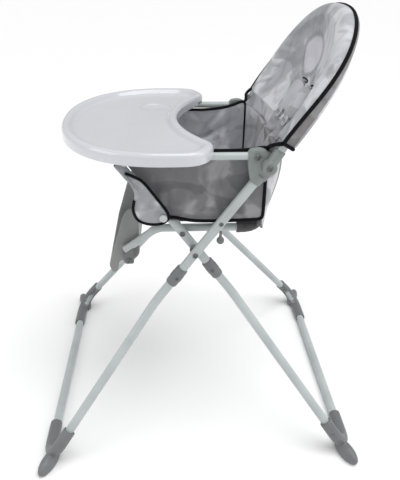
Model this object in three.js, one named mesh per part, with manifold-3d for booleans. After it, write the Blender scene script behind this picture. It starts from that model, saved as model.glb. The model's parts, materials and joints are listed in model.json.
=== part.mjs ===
// A folding baby high chair: two crossed tube frames that hinge on each other, a fabric sling seat,
// a hinged backrest, a crescent tray on the arm tubes and a moulded calf and foot rest.
// Millimetres. +Z is up, the child faces -Y and +X is the child's left. The origin lies on the floor,
// midway between the front and the rear floor bars.
import * as THREE from 'three';
import { mergeVertices } from 'three/addons/utils/BufferGeometryUtils.js';
import Module from 'manifold-3d';

const wasm = await Module();
wasm.setup();

// ---- driving dimensions -------------------------------------------------------------------------

const legTube = 21; // outer diameter of the crossed legs and floor bars
const armTube = 16; // outer diameter of the arm tubes
const railTube = 18; // outer diameter of the seat rail
const backTube = 19; // outer diameter of the backrest tube

const frontLegX = 195; // half the distance between the two front legs, axis to axis
const legGap = 10; // clear space between a front leg and the rear leg beside it
const barHalfSpacing = 363; // floor bars to the origin, along Y
const footHalfWidth = 333; // corner of a floor bar, along X
const crossY = -8; // the hinge where the legs cross
const crossZ = 505;
const legSlope = 54.2; // degrees of the upper legs above the floor

const armPinAlong = 116; // from the crossing up the rear leg to the arm pin
const seatPivotAlong = 47; // from the crossing up the rear leg to the seat pivot
const connectorAlong = 70; // from the crossing down each leg to the connector
const frontBendAlong = 155; // from the crossing down the front leg to its splay bend
const rearBendAlong = 150; // and the rear leg's
const splayBend = 110; // bend radius where the lower legs splay
const cornerBend = 46; // bend radius of the floor corners

const armZ = 731; // height of the arm tube's axis
const hubDrop = 46; // end of the front leg below the arm tube's axis
const armRearSet = 7; // the hub's arm bolt in front of the front leg's end
const armReach = 100; // from the arm pin forward to the corner where the arm tube turns down
const armBend = 20; // its bend radius

const backPivotBehind = 24; // backrest hinge behind the hub's arm bolt
const backPivotBelow = 17; // and below the arm tube's axis
const backAngle = 58.7; // degrees of the backrest above the floor
const hubReach = armTube / 2 + 0.6; // hub's outer face beyond the arm tube's axis
const coverReach = 14.5; // cover's widest edge beyond the backrest tube's axis
const backWidestAlong = 130; // from the hinge line to the widest place
const backTopAlong = 331; // from the hinge line to the top of the cover
const backHemAlong = 57; // from the hinge line to the cover's lower hem
const backFrontDepth = 12; // cover in front of the tube's axis
const backRearDepth = 14; // cover behind it
const backPower = 2.3; // squareness of the arch
const backSag = 56; // depth of the sling's hollow below the cover's front rim
const backSagAlong = 130; // its deepest place
const backCloth = 14; // thickness of the sling there

const railClear = 1.5; // between the seat rail and a rear leg
const railRearY = 138; // its rear cross bar
const railFrontY = -92; // the bend where it turns down
const railForward = 75; // from that bend forward to its lower ends
const railFall = 56; // and down
const railBend = 36;

const seatClear = 3.5; // between the seat and a rear leg
const seatFrontY = -118;
const seatThickness = 24;
const seatPanelThickness = 16; // the padded panel between the seat and the backrest
const seatPanelRise = 8; // its top above the backrest hinge
const sidePanelThickness = 5;
const sidePanelRise = 6; // its top above the arm tube's axis
const sidePanelDrop = 20; // its lower edge below the arm pin
const sidePanelRearY = 140;

const trayHalfWidth = 263;
const trayMiddleY = -70; // widest line of the tray
const trayFrontLength = 230; // widest line to the front edge
const trayRearLength = 108; // widest line to the tips
const trayOverArm = 6; // underside of the tray's floor above the arm tube
const trayHeight = 26;
const trayRim = 24; // width of the raised rim
const trayRecess = 11; // depth of the tray floor below the rim
const trayWall = 4;
const bellyRadius = 291; // hollow for the child's body
const bellyY = 249; // its centre
const cupRadius = 38;
const cupX = -103;
const cupY = -94;
const cupDepth = 2.5;

const footrestClear = 2; // between the footrest and the seat rail
const footrestWall = 5;
const footrestHeight = 124; // from the pivot line to the top edge
const footrestLean = 36; // how far the foot lies in front of the top
const footrestFoot = 47; // the foot in front of the pivot
const footrestRear = 24; // the calf plate behind it
const footrestBehind = 9; // its pivot behind the rail's end
const footrestBelow = 23; // and below it

const boltRadius = 3;
const boltHead = 6.5;
const boltHeadHeight = 3.2;
const knobRadius = 8.5;
const knobDrop = 44; // leg axis to the middle of the ball

const gap = 0.4; // between pieces that touch
const slip = 0.4; // around a tube in its socket, on the radius

// ---- small helpers ------------------------------------------------------------------------------

const radians = THREE.MathUtils.degToRad;
const point = (x, y, z) => new THREE.Vector3(x, y, z);

function toSolid(geometry) {
  const bare = geometry.clone();
  bare.deleteAttribute('normal');
  bare.deleteAttribute('uv');
  const merged = mergeVertices(bare, 1e-4);
  const vertProperties = Float32Array.from(merged.attributes.position.array);
  const triVerts = Uint32Array.from(merged.index.array);
  return new wasm.Manifold(new wasm.Mesh({ numProp: 3, vertProperties, triVerts }));
}

function toGeometry(solid) {
  const mesh = solid.getMesh();
  const geometry = new THREE.BufferGeometry();
  geometry.setAttribute('position', new THREE.BufferAttribute(mesh.vertProperties, 3));
  geometry.setIndex(new THREE.BufferAttribute(mesh.triVerts, 1));
  geometry.computeVertexNormals();
  return geometry;
}

// The first piece, joined with the added ones and cut by the removed ones.
function carve(base, added, removed) {
  let solid = toSolid(base);
  for (const piece of added) {
    solid = solid.add(toSolid(piece));
  }
  for (const piece of removed) {
    solid = solid.subtract(toSolid(piece));
  }
  return toGeometry(solid);
}

// A path of straight runs and round bends, with a station only where the tube needs a ring.
class BentPath extends THREE.Curve {
  constructor(corners, bendRadii) {
    super();
    this.stations = [{ at: corners[0], along: corners[1].clone().sub(corners[0]).normalize() }];
    for (let i = 1; i < corners.length - 1; i += 1) {
      this.addBend(corners[i - 1], corners[i], corners[i + 1], bendRadii[i - 1]);
    }
    const last = corners[corners.length - 1];
    const along = last.clone().sub(corners[corners.length - 2]).normalize();
    this.stations.push({ at: last, along });
  }

  addBend(before, corner, after, radius) {
    const into = corner.clone().sub(before).normalize();
    const out = after.clone().sub(corner).normalize();
    const turn = into.angleTo(out);
    const reach = radius * Math.tan(turn / 2);
    const start = corner.clone().addScaledVector(into, -reach);
    const inward = out.clone().addScaledVector(into, -out.dot(into)).normalize();
    const steps = Math.max(2, Math.ceil(turn / radians(20)));
    for (let i = 0; i <= steps; i += 1) {
      const angle = (turn * i) / steps;
      const at = start.clone().addScaledVector(into, radius * Math.sin(angle));
      at.addScaledVector(inward, radius * (1 - Math.cos(angle)));
      const along = into.clone().multiplyScalar(Math.cos(angle));
      along.addScaledVector(inward, Math.sin(angle));
      this.stations.push({ at, along });
    }
  }

  station(t) {
    return this.stations[Math.round(t * (this.stations.length - 1))];
  }

  getPointAt(t) {
    return this.station(t).at.clone();
  }

  getTangentAt(t) {
    return this.station(t).along.clone();
  }
}

// A solid bar of round section along corner points; sides counts the flats of the section.
function bentTube(corners, diameter, bendRadii = [], sides = 12) {
  const path = new BentPath(corners, bendRadii);
  const section = new THREE.Shape().absarc(0, 0, diameter / 2, 0, Math.PI * 2);
  const steps = path.stations.length - 1;
  return new THREE.ExtrudeGeometry(section, { steps, curveSegments: sides / 2, extrudePath: path });
}

// A cylinder along X at (y, z), from x0 to x1.
function discX(y, z, x0, x1, radius, sides = 16) {
  const geometry = new THREE.CylinderGeometry(radius, radius, x1 - x0, sides);
  geometry.rotateZ(Math.PI / 2);
  geometry.translate((x0 + x1) / 2, y, z);
  return geometry;
}

// A plate whose outline is drawn in Y and Z, from x0 to x1.
function plateX(shape, x0, x1, curveSegments = 6) {
  const geometry = new THREE.ExtrudeGeometry(shape, { depth: x1 - x0, bevelEnabled: false, curveSegments });
  const toSide = new THREE.Matrix4().makeBasis(point(0, 1, 0), point(0, 0, 1), point(1, 0, 0));
  geometry.applyMatrix4(toSide);
  geometry.translate(x0, 0, 0);
  return geometry;
}

function block(x0, x1, y0, y1, z0, z1) {
  const geometry = new THREE.BoxGeometry(x1 - x0, y1 - y0, z1 - z0);
  geometry.translate((x0 + x1) / 2, (y0 + y1) / 2, (z0 + z1) / 2);
  return geometry;
}

// A closed outline through corner points, each corner rounded by its own radius.
function roundedShape(corners) {
  const shape = new THREE.Shape();
  corners.forEach(([x, y, radius], i) => {
    const [px, py] = corners[(i + corners.length - 1) % corners.length];
    const [nx, ny] = corners[(i + 1) % corners.length];
    const here = new THREE.Vector2(x, y);
    const toward = new THREE.Vector2(px - x, py - y).normalize();
    const onward = new THREE.Vector2(nx - x, ny - y).normalize();
    const start = here.clone().addScaledVector(toward, radius);
    const end = here.clone().addScaledVector(onward, radius);
    if (i === 0) {
      shape.moveTo(start.x, start.y);
    } else {
      shape.lineTo(start.x, start.y);
    }
    shape.quadraticCurveTo(x, y, end.x, end.y);
  });
  shape.closePath();
  return shape;
}

const finish = (color, roughness, metalness) => () =>
  new THREE.MeshStandardMaterial({ color, roughness, metalness });
const paintedSteel = finish(0xb4bcbb, 0.45, 0.25);
const greyPlastic = finish(0x8b8b8c, 0.55, 0);
const hubPlastic = finish(0xa3aca6, 0.5, 0);
const whitePlastic = finish(0xe6e8ec, 0.25, 0);
const printedFabric = finish(0xb9b8bd, 0.9, 0);
const webbing = finish(0x8f9094, 0.85, 0);
const screwSteel = finish(0x6f7274, 0.35, 0.9);

const chair = new THREE.Group();

function addPiece(body, name, geometry, material) {
  const mesh = new THREE.Mesh(geometry, material());
  mesh.name = name;
  body.add(mesh);
  return mesh;
}

// The same piece on both sides: built on the child's left, mirrored for the right.
function addPair(body, name, geometry, material) {
  addPiece(body, `${name}_left`, geometry, material);
  const right = addPiece(body, `${name}_right`, geometry, material);
  right.scale.x = -1;
}

function addBody() {
  const body = new THREE.Group();
  chair.add(body);
  return body;
}

// ---- places worked out from the driving dimensions ----------------------------------------------

const legRadius = legTube / 2;
const rearLegX = frontLegX - legTube - legGap;
const slopeY = Math.cos(radians(legSlope));
const slopeZ = Math.sin(radians(legSlope));
const barZ = legRadius + 2.5; // floor bars stand on the foot pads' soles
const frontLine = (along) => point(frontLegX, crossY + along * slopeY, crossZ + along * slopeZ);
const rearLine = (along) => point(rearLegX, crossY - along * slopeY, crossZ + along * slopeZ);
const seatPivot = rearLine(seatPivotAlong);
const armPin = rearLine(armPinAlong);
const legOuterX = frontLegX + legRadius;
const legInnerX = frontLegX - legRadius;
const rearOuterX = rearLegX + legRadius;
const rearInnerX = rearLegX - legRadius;
const panelInnerX = rearOuterX + 1.1;
const panelOuterX = panelInnerX + sidePanelThickness;

const hubAlong = (armZ - hubDrop - crossZ) / slopeZ; // from the crossing to the front leg's end
const armRearY = frontLine(hubAlong).y - armRearSet;
const armBendY = armPin.y - armReach;
const hubOuterX = frontLegX + hubReach;
const backPivotY = armRearY + backPivotBehind;
const backPivotZ = armZ - backPivotBelow;
const backTubeX = hubOuterX + gap + backTube / 2;
const backHalfWidth = backTubeX + coverReach;
const sidePanelTopZ = armZ + sidePanelRise;
const sidePanelBottomZ = armPin.z - sidePanelDrop;

const railHalfWidth = rearInnerX - railClear - railTube / 2;
const railZ = seatPivot.z;
const railEndY = railFrontY - railForward;
const railEndZ = railZ - railFall;
const seatHalfWidth = rearInnerX - seatClear;
const seatPanelTopZ = backPivotZ + seatPanelRise;
const trayTopZ = armZ + armTube / 2 + trayOverArm + trayWall + trayRecess;

const footrestHalfWidth = railHalfWidth - railTube / 2 - footrestClear;
const footrestPivotY = railEndY + footrestBehind;
const footrestPivotZ = railEndZ - footrestBelow;
const footrestFootY = footrestPivotY - footrestFoot;
const footrestRearY = footrestPivotY + footrestRear;

// A dome-headed bolt along X: the head's seat at headX, the shank pointing inwards to tipX.
function boltX(y, z, headX, tipX) {
  const profile = [
    new THREE.Vector2(0, 0),
    new THREE.Vector2(boltRadius, 0),
    new THREE.Vector2(boltRadius, headX - tipX),
    new THREE.Vector2(boltHead, headX - tipX),
    new THREE.Vector2(boltHead * 0.72, headX - tipX + boltHeadHeight * 0.8),
    new THREE.Vector2(0, headX - tipX + boltHeadHeight),
  ];
  const geometry = new THREE.LatheGeometry(profile, 10);
  geometry.rotateZ(-Math.PI / 2);
  geometry.translate(tipX, y, z);
  return geometry;
}

const boreX = (y, z, x0, x1) => discX(y, z, x0, x1, boltRadius + slip, 10);

// ---- legs, connectors, floor bars and foot pads -------------------------------------------------

const socketDepth = 20;
const connectorLength = 48;
const connectorRadius = legRadius + 3.2;

// A grey sleeve with a socket at each end and a wall between them, centred on its own origin along Y.
function connectorShape() {
  const half = connectorLength / 2;
  const wall = half - socketDepth;
  const inner = legRadius + slip;
  const profile = [
    [0, -wall],
    [inner, -wall],
    [inner, -half],
    [connectorRadius - 1, -half],
    [connectorRadius, -half + 3],
    [connectorRadius, half - 3],
    [connectorRadius - 1, half],
    [inner, half],
    [inner, wall],
    [0, wall],
  ];
  return new THREE.LatheGeometry(profile.map(([r, y]) => new THREE.Vector2(r, y)), 14);
}

function placedConnector(line) {
  const geometry = connectorShape();
  const up = line(1).sub(line(0));
  const turn = new THREE.Quaternion().setFromUnitVectors(point(0, 1, 0), up);
  geometry.applyQuaternion(turn);
  const centre = line(-connectorAlong);
  geometry.translate(centre.x, centre.y, centre.z);
  return geometry;
}

const tubeEndInSocket = connectorLength / 2 - socketDepth + gap;

// An upper leg with its bolt holes.
function upperLeg(line, topAlong, holes) {
  const tube = bentTube([line(-connectorAlong + tubeEndInSocket), line(topAlong)], legTube);
  const x = line(0).x;
  const cuts = holes.map((at) => boreX(at.y, at.z, x - legTube, x + legTube));
  return carve(tube, [], cuts);
}

// Half of a lower frame: from the connector down to its bend, out to the corner, and along the bar.
function lowerHalf(line, bendAlong, barY) {
  const top = line(-connectorAlong - tubeEndInSocket);
  const bend = line(-bendAlong);
  const corner = point(footHalfWidth, barY, barZ);
  return [top, bend, corner];
}

const mirrored = (p) => point(-p.x, p.y, p.z);

function lowerFrame(line, bendAlong, barY) {
  const half = lowerHalf(line, bendAlong, barY);
  const corners = [...half, ...half.map(mirrored).reverse()];
  return bentTube(corners, legTube, [splayBend, cornerBend, cornerBend, splayBend]);
}

// The pad under a corner: a channel around the outside of the bend with a rounded toe, flat below.
function footPad(line, bendAlong, barY) {
  const [, bend, corner] = lowerHalf(line, bendAlong, barY);
  const legWay = bend.clone().sub(corner).normalize();
  const barWay = point(-1, 0, 0);
  const outward = legWay.clone().add(barWay).setZ(0).normalize().negate();
  const padOnLeg = 100;
  const padOnBar = 128;
  const legEnd = corner.clone().addScaledVector(legWay, padOnLeg);
  const barEnd = corner.clone().addScaledVector(barWay, padOnBar);
  const shift = outward.clone().multiplyScalar(4).setZ(-1);
  const padPath = [legEnd, corner, barEnd].map((p) => p.clone().add(shift));
  const shell = bentTube(padPath, legTube + 9, [cornerBend]);
  const toe = new THREE.SphereGeometry(1, 14, 8);
  toe.scale(42, 16, 22);
  toe.rotateZ(Math.atan2(outward.y, outward.x));
  toe.translate(corner.x - outward.x * 4, corner.y - outward.y * 4, 12);
  const farEnd = legEnd.clone().addScaledVector(legWay, 10);
  const channel = bentTube([farEnd, corner, barEnd.clone().setX(0)], legTube + 2 * slip, [cornerBend]);
  const below = block(0, footHalfWidth * 2, corner.y - 300, corner.y + 300, -60, 0);
  return carve(shell, [toe], [channel, below]);
}

const frontFrame = addBody();
const rearFrame = addBody();
const cross = point(0, crossY, crossZ);

addPair(frontFrame, 'front_leg', upperLeg(frontLine, hubAlong, [cross]), paintedSteel);
addPair(frontFrame, 'front_connector', placedConnector(frontLine), greyPlastic);
addPiece(frontFrame, 'front_lower_frame', lowerFrame(frontLine, frontBendAlong, -barHalfSpacing), paintedSteel);
addPair(frontFrame, 'front_foot_pad', footPad(frontLine, frontBendAlong, -barHalfSpacing), greyPlastic);

const rearTopAlong = armPinAlong + 9;
addPair(rearFrame, 'rear_leg', upperLeg(rearLine, rearTopAlong, [cross, seatPivot]), paintedSteel);
addPair(rearFrame, 'rear_connector', placedConnector(rearLine), greyPlastic);
addPiece(rearFrame, 'rear_lower_frame', lowerFrame(rearLine, rearBendAlong, barHalfSpacing), paintedSteel);
addPair(rearFrame, 'rear_foot_pad', footPad(rearLine, rearBendAlong, barHalfSpacing), greyPlastic);

// The hinge where the legs cross: a bolt through both legs, with a spacer between them.
const spacerDisc = discX(crossY, crossZ, rearOuterX + gap, legInnerX - gap, legRadius + 1);
const spacerBore = boreX(crossY, crossZ, rearOuterX - 5, legInnerX + 5);
addPair(frontFrame, 'cross_spacer', carve(spacerDisc, [], [spacerBore]), greyPlastic);
addPair(frontFrame, 'cross_bolt', boltX(crossY, crossZ, legOuterX + gap, rearInnerX - 3), screwSteel);

// ---- hubs and arm tubes -------------------------------------------------------------------------

const hubInnerX = legInnerX + gap;
const armCorner = point(frontLegX, armBendY, armZ);
const armRear = point(frontLegX, armRearY, armZ);
const armFront = point(frontLegX, armPin.y, armPin.z);
const armPath = [armRear.clone().setY(armRearY + 9), armCorner, armFront];

const armHoles = [
  boreX(armRearY, armZ, 0, frontLegX + 30),
  discX(armPin.y, armPin.z, 0, frontLegX + 30, boltRadius + slip, 14),
];
addPair(frontFrame, 'arm_tube', carve(bentTube(armPath, armTube, [armBend]), [], armHoles), paintedSteel);

// A moulded hub takes the front leg's top from below and the arm tube from the front.
function hub() {
  const lobe = 17;
  const legTop = frontLine(hubAlong);
  const shape = roundedShape([
    [legTop.y - 19, legTop.z - 4, 6],
    [legTop.y + 11, legTop.z - 10, 6],
    [backPivotY + lobe, backPivotZ - 12, 9],
    [backPivotY + lobe, backPivotZ + lobe - 3, 10],
    [armRearY + 10, armZ + lobe, 12],
    [armRearY - 16, armZ + lobe - 4, 8],
    [armRearY - 18, armZ - 14, 8],
  ]);
  const plate = plateX(shape, hubInnerX, hubOuterX);
  const legSleeve = bentTube([frontLine(hubAlong - 15), frontLine(hubAlong + 6)], legTube + 5);
  const armSleeve = bentTube([armRear.clone().setY(armRearY - 18), armRear], armTube + 5);
  const below = frontLine(hubAlong - 60);
  const legSocket = bentTube([below, frontLine(hubAlong + gap)], legTube + 2 * slip);
  const ahead = armRear.clone().setY(armRearY - 60);
  const behind = armRear.clone().setY(armRearY + 9 + gap);
  const armSocket = bentTube([ahead, behind], armTube + 2 * slip);
  const bores = [
    boreX(armRearY, armZ, 0, frontLegX + 30),
    boreX(backPivotY, backPivotZ, 0, frontLegX + 30),
  ];
  return carve(plate, [legSleeve, armSleeve], [legSocket, armSocket, ...bores]);
}
addPair(frontFrame, 'hub', hub(), hubPlastic);

const armBoltTip = hubInnerX - 1;
addPair(frontFrame, 'arm_bolt', boltX(armRearY, armZ, hubOuterX + gap + 1.8, armBoltTip), screwSteel);

// The pin at the arm tube's front end, which stops short of the rear leg's side.
function armPinPiece() {
  const head = discX(armPin.y, armPin.z, frontLegX + armTube / 2 + 5, frontLegX + armTube / 2 + 8, 8.5);
  const shank = discX(armPin.y, armPin.z, rearOuterX + gap, frontLegX + armTube / 2 + 6, boltRadius, 14);
  const bushEnd = frontLegX - armTube / 2 - gap;
  const bush = discX(armPin.y, armPin.z, rearOuterX + gap, bushEnd, 7);
  return carve(shank, [head, bush], []);
}
addPair(frontFrame, 'arm_pin', armPinPiece(), whitePlastic);

// ---- fold lock ----------------------------------------------------------------------------------

// A ball on a short stem under each front leg, pulled down to let the frame fold.
const lockAlong = 94;
const lockAt = frontLine(lockAlong);
function lockKnob(body, side) {
  const underside = lockAt.z - legRadius / Math.cos(radians(legSlope));
  const ball = new THREE.SphereGeometry(knobRadius, 12, 8);
  ball.rotateX(Math.PI / 2);
  ball.translate(frontLegX, lockAt.y, lockAt.z - knobDrop);
  const stemLow = point(frontLegX, lockAt.y, lockAt.z - knobDrop);
  const stemTop = point(frontLegX, lockAt.y, underside - gap - 4);
  const stem = bentTube([stemLow, stemTop], 6, [], 12);
  const knob = addPiece(body, `lock_knob_${side}`, carve(ball, [stem], []), greyPlastic);
  knob.scale.x = side === 'left' ? 1 : -1;
}
lockKnob(addBody(), 'left');
lockKnob(addBody(), 'right');

// ---- fabric fixed to the front frame ------------------------------------------------------------

function sidePanel() {
  const clear = armTube / 2 + 3;
  const shape = roundedShape([
    [sidePanelRearY, sidePanelBottomZ, 6],
    [sidePanelRearY, armZ - 44, 8],
    [armRearY - 6, sidePanelTopZ, 8],
    [armBendY + 20, sidePanelTopZ, 12],
    [armBendY + 12, armZ - 26, 12],
    [armPin.y - clear - 4, armPin.z + 10, 10],
    [armPin.y - 4, sidePanelBottomZ, 8],
  ]);
  const plate = plateX(shape, panelInnerX, panelOuterX);
  const pinHole = discX(armPin.y, armPin.z, panelInnerX - 5, panelOuterX + 5, 9);
  return carve(plate, [], [pinHole]);
}
addPair(frontFrame, 'side_panel', sidePanel(), printedFabric);

// The corner flap folds over the arm tube's front run, outside it.
function armFlap() {
  const shape = roundedShape([
    [armPin.y + 12, armPin.z - 6, 9],
    [armPin.y + 10, armPin.z + 12, 9],
    [armPin.y - 36, armPin.z + 84, 12],
    [armBendY + 25, armZ - 33, 2],
    [armBendY + 42, armZ - 75, 12],
    [armPin.y - 62, armPin.z - 12, 12],
    [armPin.y - 6, armPin.z - 14, 9],
  ]);
  const x0 = frontLegX + armTube / 2 + gap;
  const plate = plateX(shape, x0, x0 + 3);
  const pinHole = discX(armPin.y, armPin.z, x0 - 5, x0 + 8, boltRadius + 1.5);
  return carve(plate, [], [pinHole]);
}
addPair(frontFrame, 'arm_flap', armFlap(), printedFabric);

// ---- seat: rail, cushion, back panel and harness ------------------------------------------------

const seat = addBody();
const railHalf = [
  point(railHalfWidth, railEndY, railEndZ),
  point(railHalfWidth, railFrontY, railZ),
  point(railHalfWidth, railRearY, railZ),
];
const railCorners = [...railHalf, ...railHalf.map(mirrored).reverse()];
const railTubeShape = bentTube(railCorners, railTube, [50, railBend, railBend, 50]);
const railOuterX = railHalfWidth + railTube / 2;
const railBores = [
  boreX(seatPivot.y, seatPivot.z, railHalfWidth - 2, railOuterX + 5),
  boreX(seatPivot.y, seatPivot.z, -railOuterX - 5, -railHalfWidth + 2),
];
addPiece(seat, 'seat_rail', carve(railTubeShape, [], railBores), paintedSteel);
const seatBoltTip = railHalfWidth - 2 + gap;
const seatBoltX = rearOuterX + gap;
addPair(rearFrame, 'seat_pivot_bolt', boltX(seatPivot.y, seatPivot.z, seatBoltX, seatBoltTip), screwSteel);

const seatBottomZ = railZ + railTube / 2 + gap;
const seatTopZ = seatBottomZ + seatThickness;
const seatRearY = railRearY - 2;
function seatBase() {
  const shape = roundedShape([
    [seatFrontY, seatBottomZ, 9],
    [seatRearY, seatBottomZ, 2],
    [seatRearY, seatTopZ, 2],
    [seatFrontY, seatTopZ, 9],
  ]);
  return plateX(shape, -seatHalfWidth, seatHalfWidth);
}
addPiece(seat, 'seat_base', seatBase(), printedFabric);

// The padded panel that rises from the rear of the seat to just under the backrest cover.
function seatBackPanel() {
  const foot = seatRearY + 1;
  const t = seatPanelThickness;
  const shape = roundedShape([
    [foot, seatBottomZ, 3],
    [foot + t + 4, seatBottomZ, 6],
    [foot + t + 18, seatBottomZ + 76, 20],
    [foot + t + 26, seatBottomZ + 124, 20],
    [foot + t + 26, seatPanelTopZ, 5],
    [foot + 26, seatPanelTopZ, 5],
    [foot + 25, seatBottomZ + 122, 20],
    [foot + 13, seatBottomZ + 74, 20],
  ]);
  return plateX(shape, -seatHalfWidth, seatHalfWidth);
}
addPiece(seat, 'seat_back_panel', seatBackPanel(), printedFabric);

// Lap and crotch webbing lie on the cushion and meet in a press-button buckle.
const webWidth = 25;
const webThickness = 2;
const buckleHalf = 22;
const buckleY = 18;
const buckleHeight = 15;
const webZ = seatTopZ + gap;
const lapStrap = block(buckleHalf + gap, seatHalfWidth - 8, buckleY, buckleY + webWidth, webZ, webZ + webThickness);
addPair(seat, 'lap_strap', lapStrap, webbing);
const strapY0 = seatFrontY + 40;
const crotchEnd = buckleY - buckleHalf - gap;
const crotchStrap = block(-webWidth / 2, webWidth / 2, strapY0, crotchEnd, webZ, webZ + webThickness);
addPiece(seat, 'crotch_strap', crotchStrap, webbing);

function buckle() {
  const shape = roundedShape([
    [-buckleHalf, -buckleHalf, 8],
    [buckleHalf, -buckleHalf, 8],
    [buckleHalf, buckleHalf + 6, 12],
    [-buckleHalf, buckleHalf + 6, 12],
  ]);
  const body = new THREE.ExtrudeGeometry(shape, { depth: buckleHeight, bevelEnabled: false, curveSegments: 6 });
  body.translate(0, buckleY, webZ);
  const well = new THREE.CylinderGeometry(9 + slip, 9 + slip, 12, 20);
  well.rotateX(Math.PI / 2);
  well.translate(0, buckleY, webZ + buckleHeight);
  return carve(body, [], [well]);
}
addPiece(seat, 'buckle', buckle(), greyPlastic);

const buckleButton = new THREE.CylinderGeometry(9, 9, 3.5, 20);
buckleButton.rotateX(Math.PI / 2);
const buttonTravel = 2.5;
buckleButton.translate(0, buckleY, webZ + buckleHeight - 6 + gap + buttonTravel + 1.75);
addPiece(addBody(), 'buckle_button', buckleButton, hubPlastic);

// ---- footrest -----------------------------------------------------------------------------------

const bracketInnerX = railHalfWidth - railTube / 2;

// The bracket under each end of the rail.
function footrestBracket() {
  const shape = roundedShape([
    [footrestPivotY - 16, footrestPivotZ + 14, 4],
    [footrestPivotY - 10, footrestPivotZ - 10, 7],
    [footrestPivotY + 11, footrestPivotZ - 9, 4],
    [footrestPivotY + 13, footrestPivotZ + 36, 6],
  ]);
  const plate = plateX(shape, bracketInnerX, railOuterX);
  const onward = railHalf[0].clone().sub(railHalf[1]).setLength(40);
  const railCut = bentTube([railHalf[0].clone().add(onward), railHalf[1]], railTube + 2 * slip);
  const bore = boreX(footrestPivotY, footrestPivotZ, 0, railOuterX + 20);
  return carve(plate, [], [railCut, bore]);
}
addPair(seat, 'footrest_bracket', footrestBracket(), greyPlastic);
const footrestBoltTip = footrestHalfWidth - footrestWall - 2;
addPair(
  seat,
  'footrest_bolt',
  boltX(footrestPivotY, footrestPivotZ, railOuterX + gap, footrestBoltTip),
  screwSteel,
);

// A calf plate with a side wall in front of each edge and a hooked foot ledge; drawn about its pivot line.
function footrestMoulding() {
  const rearY = footrestRearY - footrestPivotY;
  const topZ = footrestHeight;
  const footY = footrestFootY - footrestPivotY;
  const topY = footY + footrestLean;
  const profile = roundedShape([
    [footY - 2, -24, 6],
    [footY + 5, -44, 6],
    [footY + 17, -42, 5],
    [footY + 22, -12, 9],
    [rearY - 16, -13, 7],
    [rearY, 4, 9],
    [rearY, topZ - 12, 7],
    [rearY - 8, topZ, 6],
    [topY + 10, topZ - 6, 8],
    [topY, topZ - 24, 8],
  ]);
  const w = footrestHalfWidth - gap;
  const side = w - footrestWall;
  const whole = toSolid(plateX(profile, -w, w));
  const inside = block(-side, side, footY - 50, rearY - footrestWall, -13 + footrestWall, topZ + 40);
  let solid = whole.subtract(toSolid(inside));
  for (const x of [-w, w]) {
    solid = solid.subtract(toSolid(boreX(0, 0, x - footrestWall * 2, x + footrestWall * 2)));
  }
  const moulded = toGeometry(solid);
  moulded.translate(0, footrestPivotY, footrestPivotZ);
  return moulded;
}
addPiece(addBody(), 'footrest', footrestMoulding(), greyPlastic);

// ---- backrest -----------------------------------------------------------------------------------

// Backrest pieces are drawn flat, x across and y up the back from its hinge line, z forward of the
// tube's axis, then turned to the back's angle about the hinge.
const backrest = addBody();
const backTilt = new THREE.Matrix4().makeRotationX(radians(backAngle));
backTilt.setPosition(0, backPivotY, backPivotZ);
const onBack = (geometry) => geometry.applyMatrix4(backTilt);

// Half width of the arch at a height along the back.
function archHalfWidth(along, halfWidth, top) {
  if (along <= backWidestAlong) {
    const drop = (backWidestAlong - along) / (backWidestAlong - backHemAlong);
    return halfWidth - 12 * drop * drop;
  }
  const rise = (along - backWidestAlong) / (top - backWidestAlong);
  return halfWidth * (1 - Math.min(rise, 1) ** backPower) ** (1 / backPower);
}

// The arch's right side from the hem to the top, as [x, along] pairs.
function archSide(inset, steps) {
  const top = backTopAlong - inset;
  const side = [];
  for (let i = 0; i <= steps; i += 1) {
    const turn = (i / steps) * (Math.PI / 2);
    const along = backWidestAlong + (top - backWidestAlong) * Math.sin(turn) ** (2 / backPower);
    side.push([archHalfWidth(along, backHalfWidth - inset, top), along]);
  }
  return side;
}

const tubeInset = backRearDepth + 1;
function backTubePath() {
  const half = [point(backTubeX, 14, 0)];
  for (const [x, along] of archSide(tubeInset, 9)) {
    half.push(point(x, along, 0));
  }
  const other = half.slice(0, -1).map(mirrored).reverse();
  return new THREE.CatmullRomCurve3([...half, ...other], false, 'centripetal');
}

function sweptBack(diameter, path, steps) {
  const section = new THREE.Shape().absarc(0, 0, diameter / 2, 0, Math.PI * 2);
  return new THREE.ExtrudeGeometry(section, { steps, curveSegments: 6, extrudePath: path });
}
const backSteps = 26;
addPiece(backrest, 'backrest_tube', onBack(sweptBack(backTube, backTubePath(), backSteps)), paintedSteel);

// The hollow of the sling, or with a thickness the bulge behind it.
const backBowlX = 186;
const backBowlAlong = 162;
function backBowl(thickness) {
  const bowl = new THREE.SphereGeometry(1, 32, 20);
  bowl.scale(backBowlX + thickness * 0.5, backBowlAlong + thickness * 0.5, backSag + thickness);
  bowl.translate(0, backSagAlong, backFrontDepth);
  return bowl;
}

function backrestCover() {
  const shape = new THREE.Shape();
  const hemX = archHalfWidth(backHemAlong, backHalfWidth, backTopAlong);
  shape.moveTo(-hemX, backHemAlong);
  shape.lineTo(hemX, backHemAlong);
  const side = archSide(0, 12);
  side.forEach(([x, along]) => shape.lineTo(x, along));
  side.slice(0, -1).reverse().forEach(([x, along]) => shape.lineTo(-x, along));
  shape.closePath();
  const depth = backFrontDepth + backRearDepth;
  const slab = new THREE.ExtrudeGeometry(shape, { depth, bevelEnabled: false });
  slab.translate(0, 0, -backRearDepth);
  const tall = new THREE.ExtrudeGeometry(shape, { depth: 200, bevelEnabled: false });
  tall.translate(0, 0, -200 + backFrontDepth - 1);
  const belly = toSolid(backBowl(backCloth)).intersect(toSolid(tall));
  const channel = toSolid(sweptBack(backTube + 4 * slip, backTubePath(), backSteps));
  const solid = toSolid(slab).add(belly).subtract(toSolid(backBowl(0))).subtract(channel);
  return onBack(toGeometry(solid));
}
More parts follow.
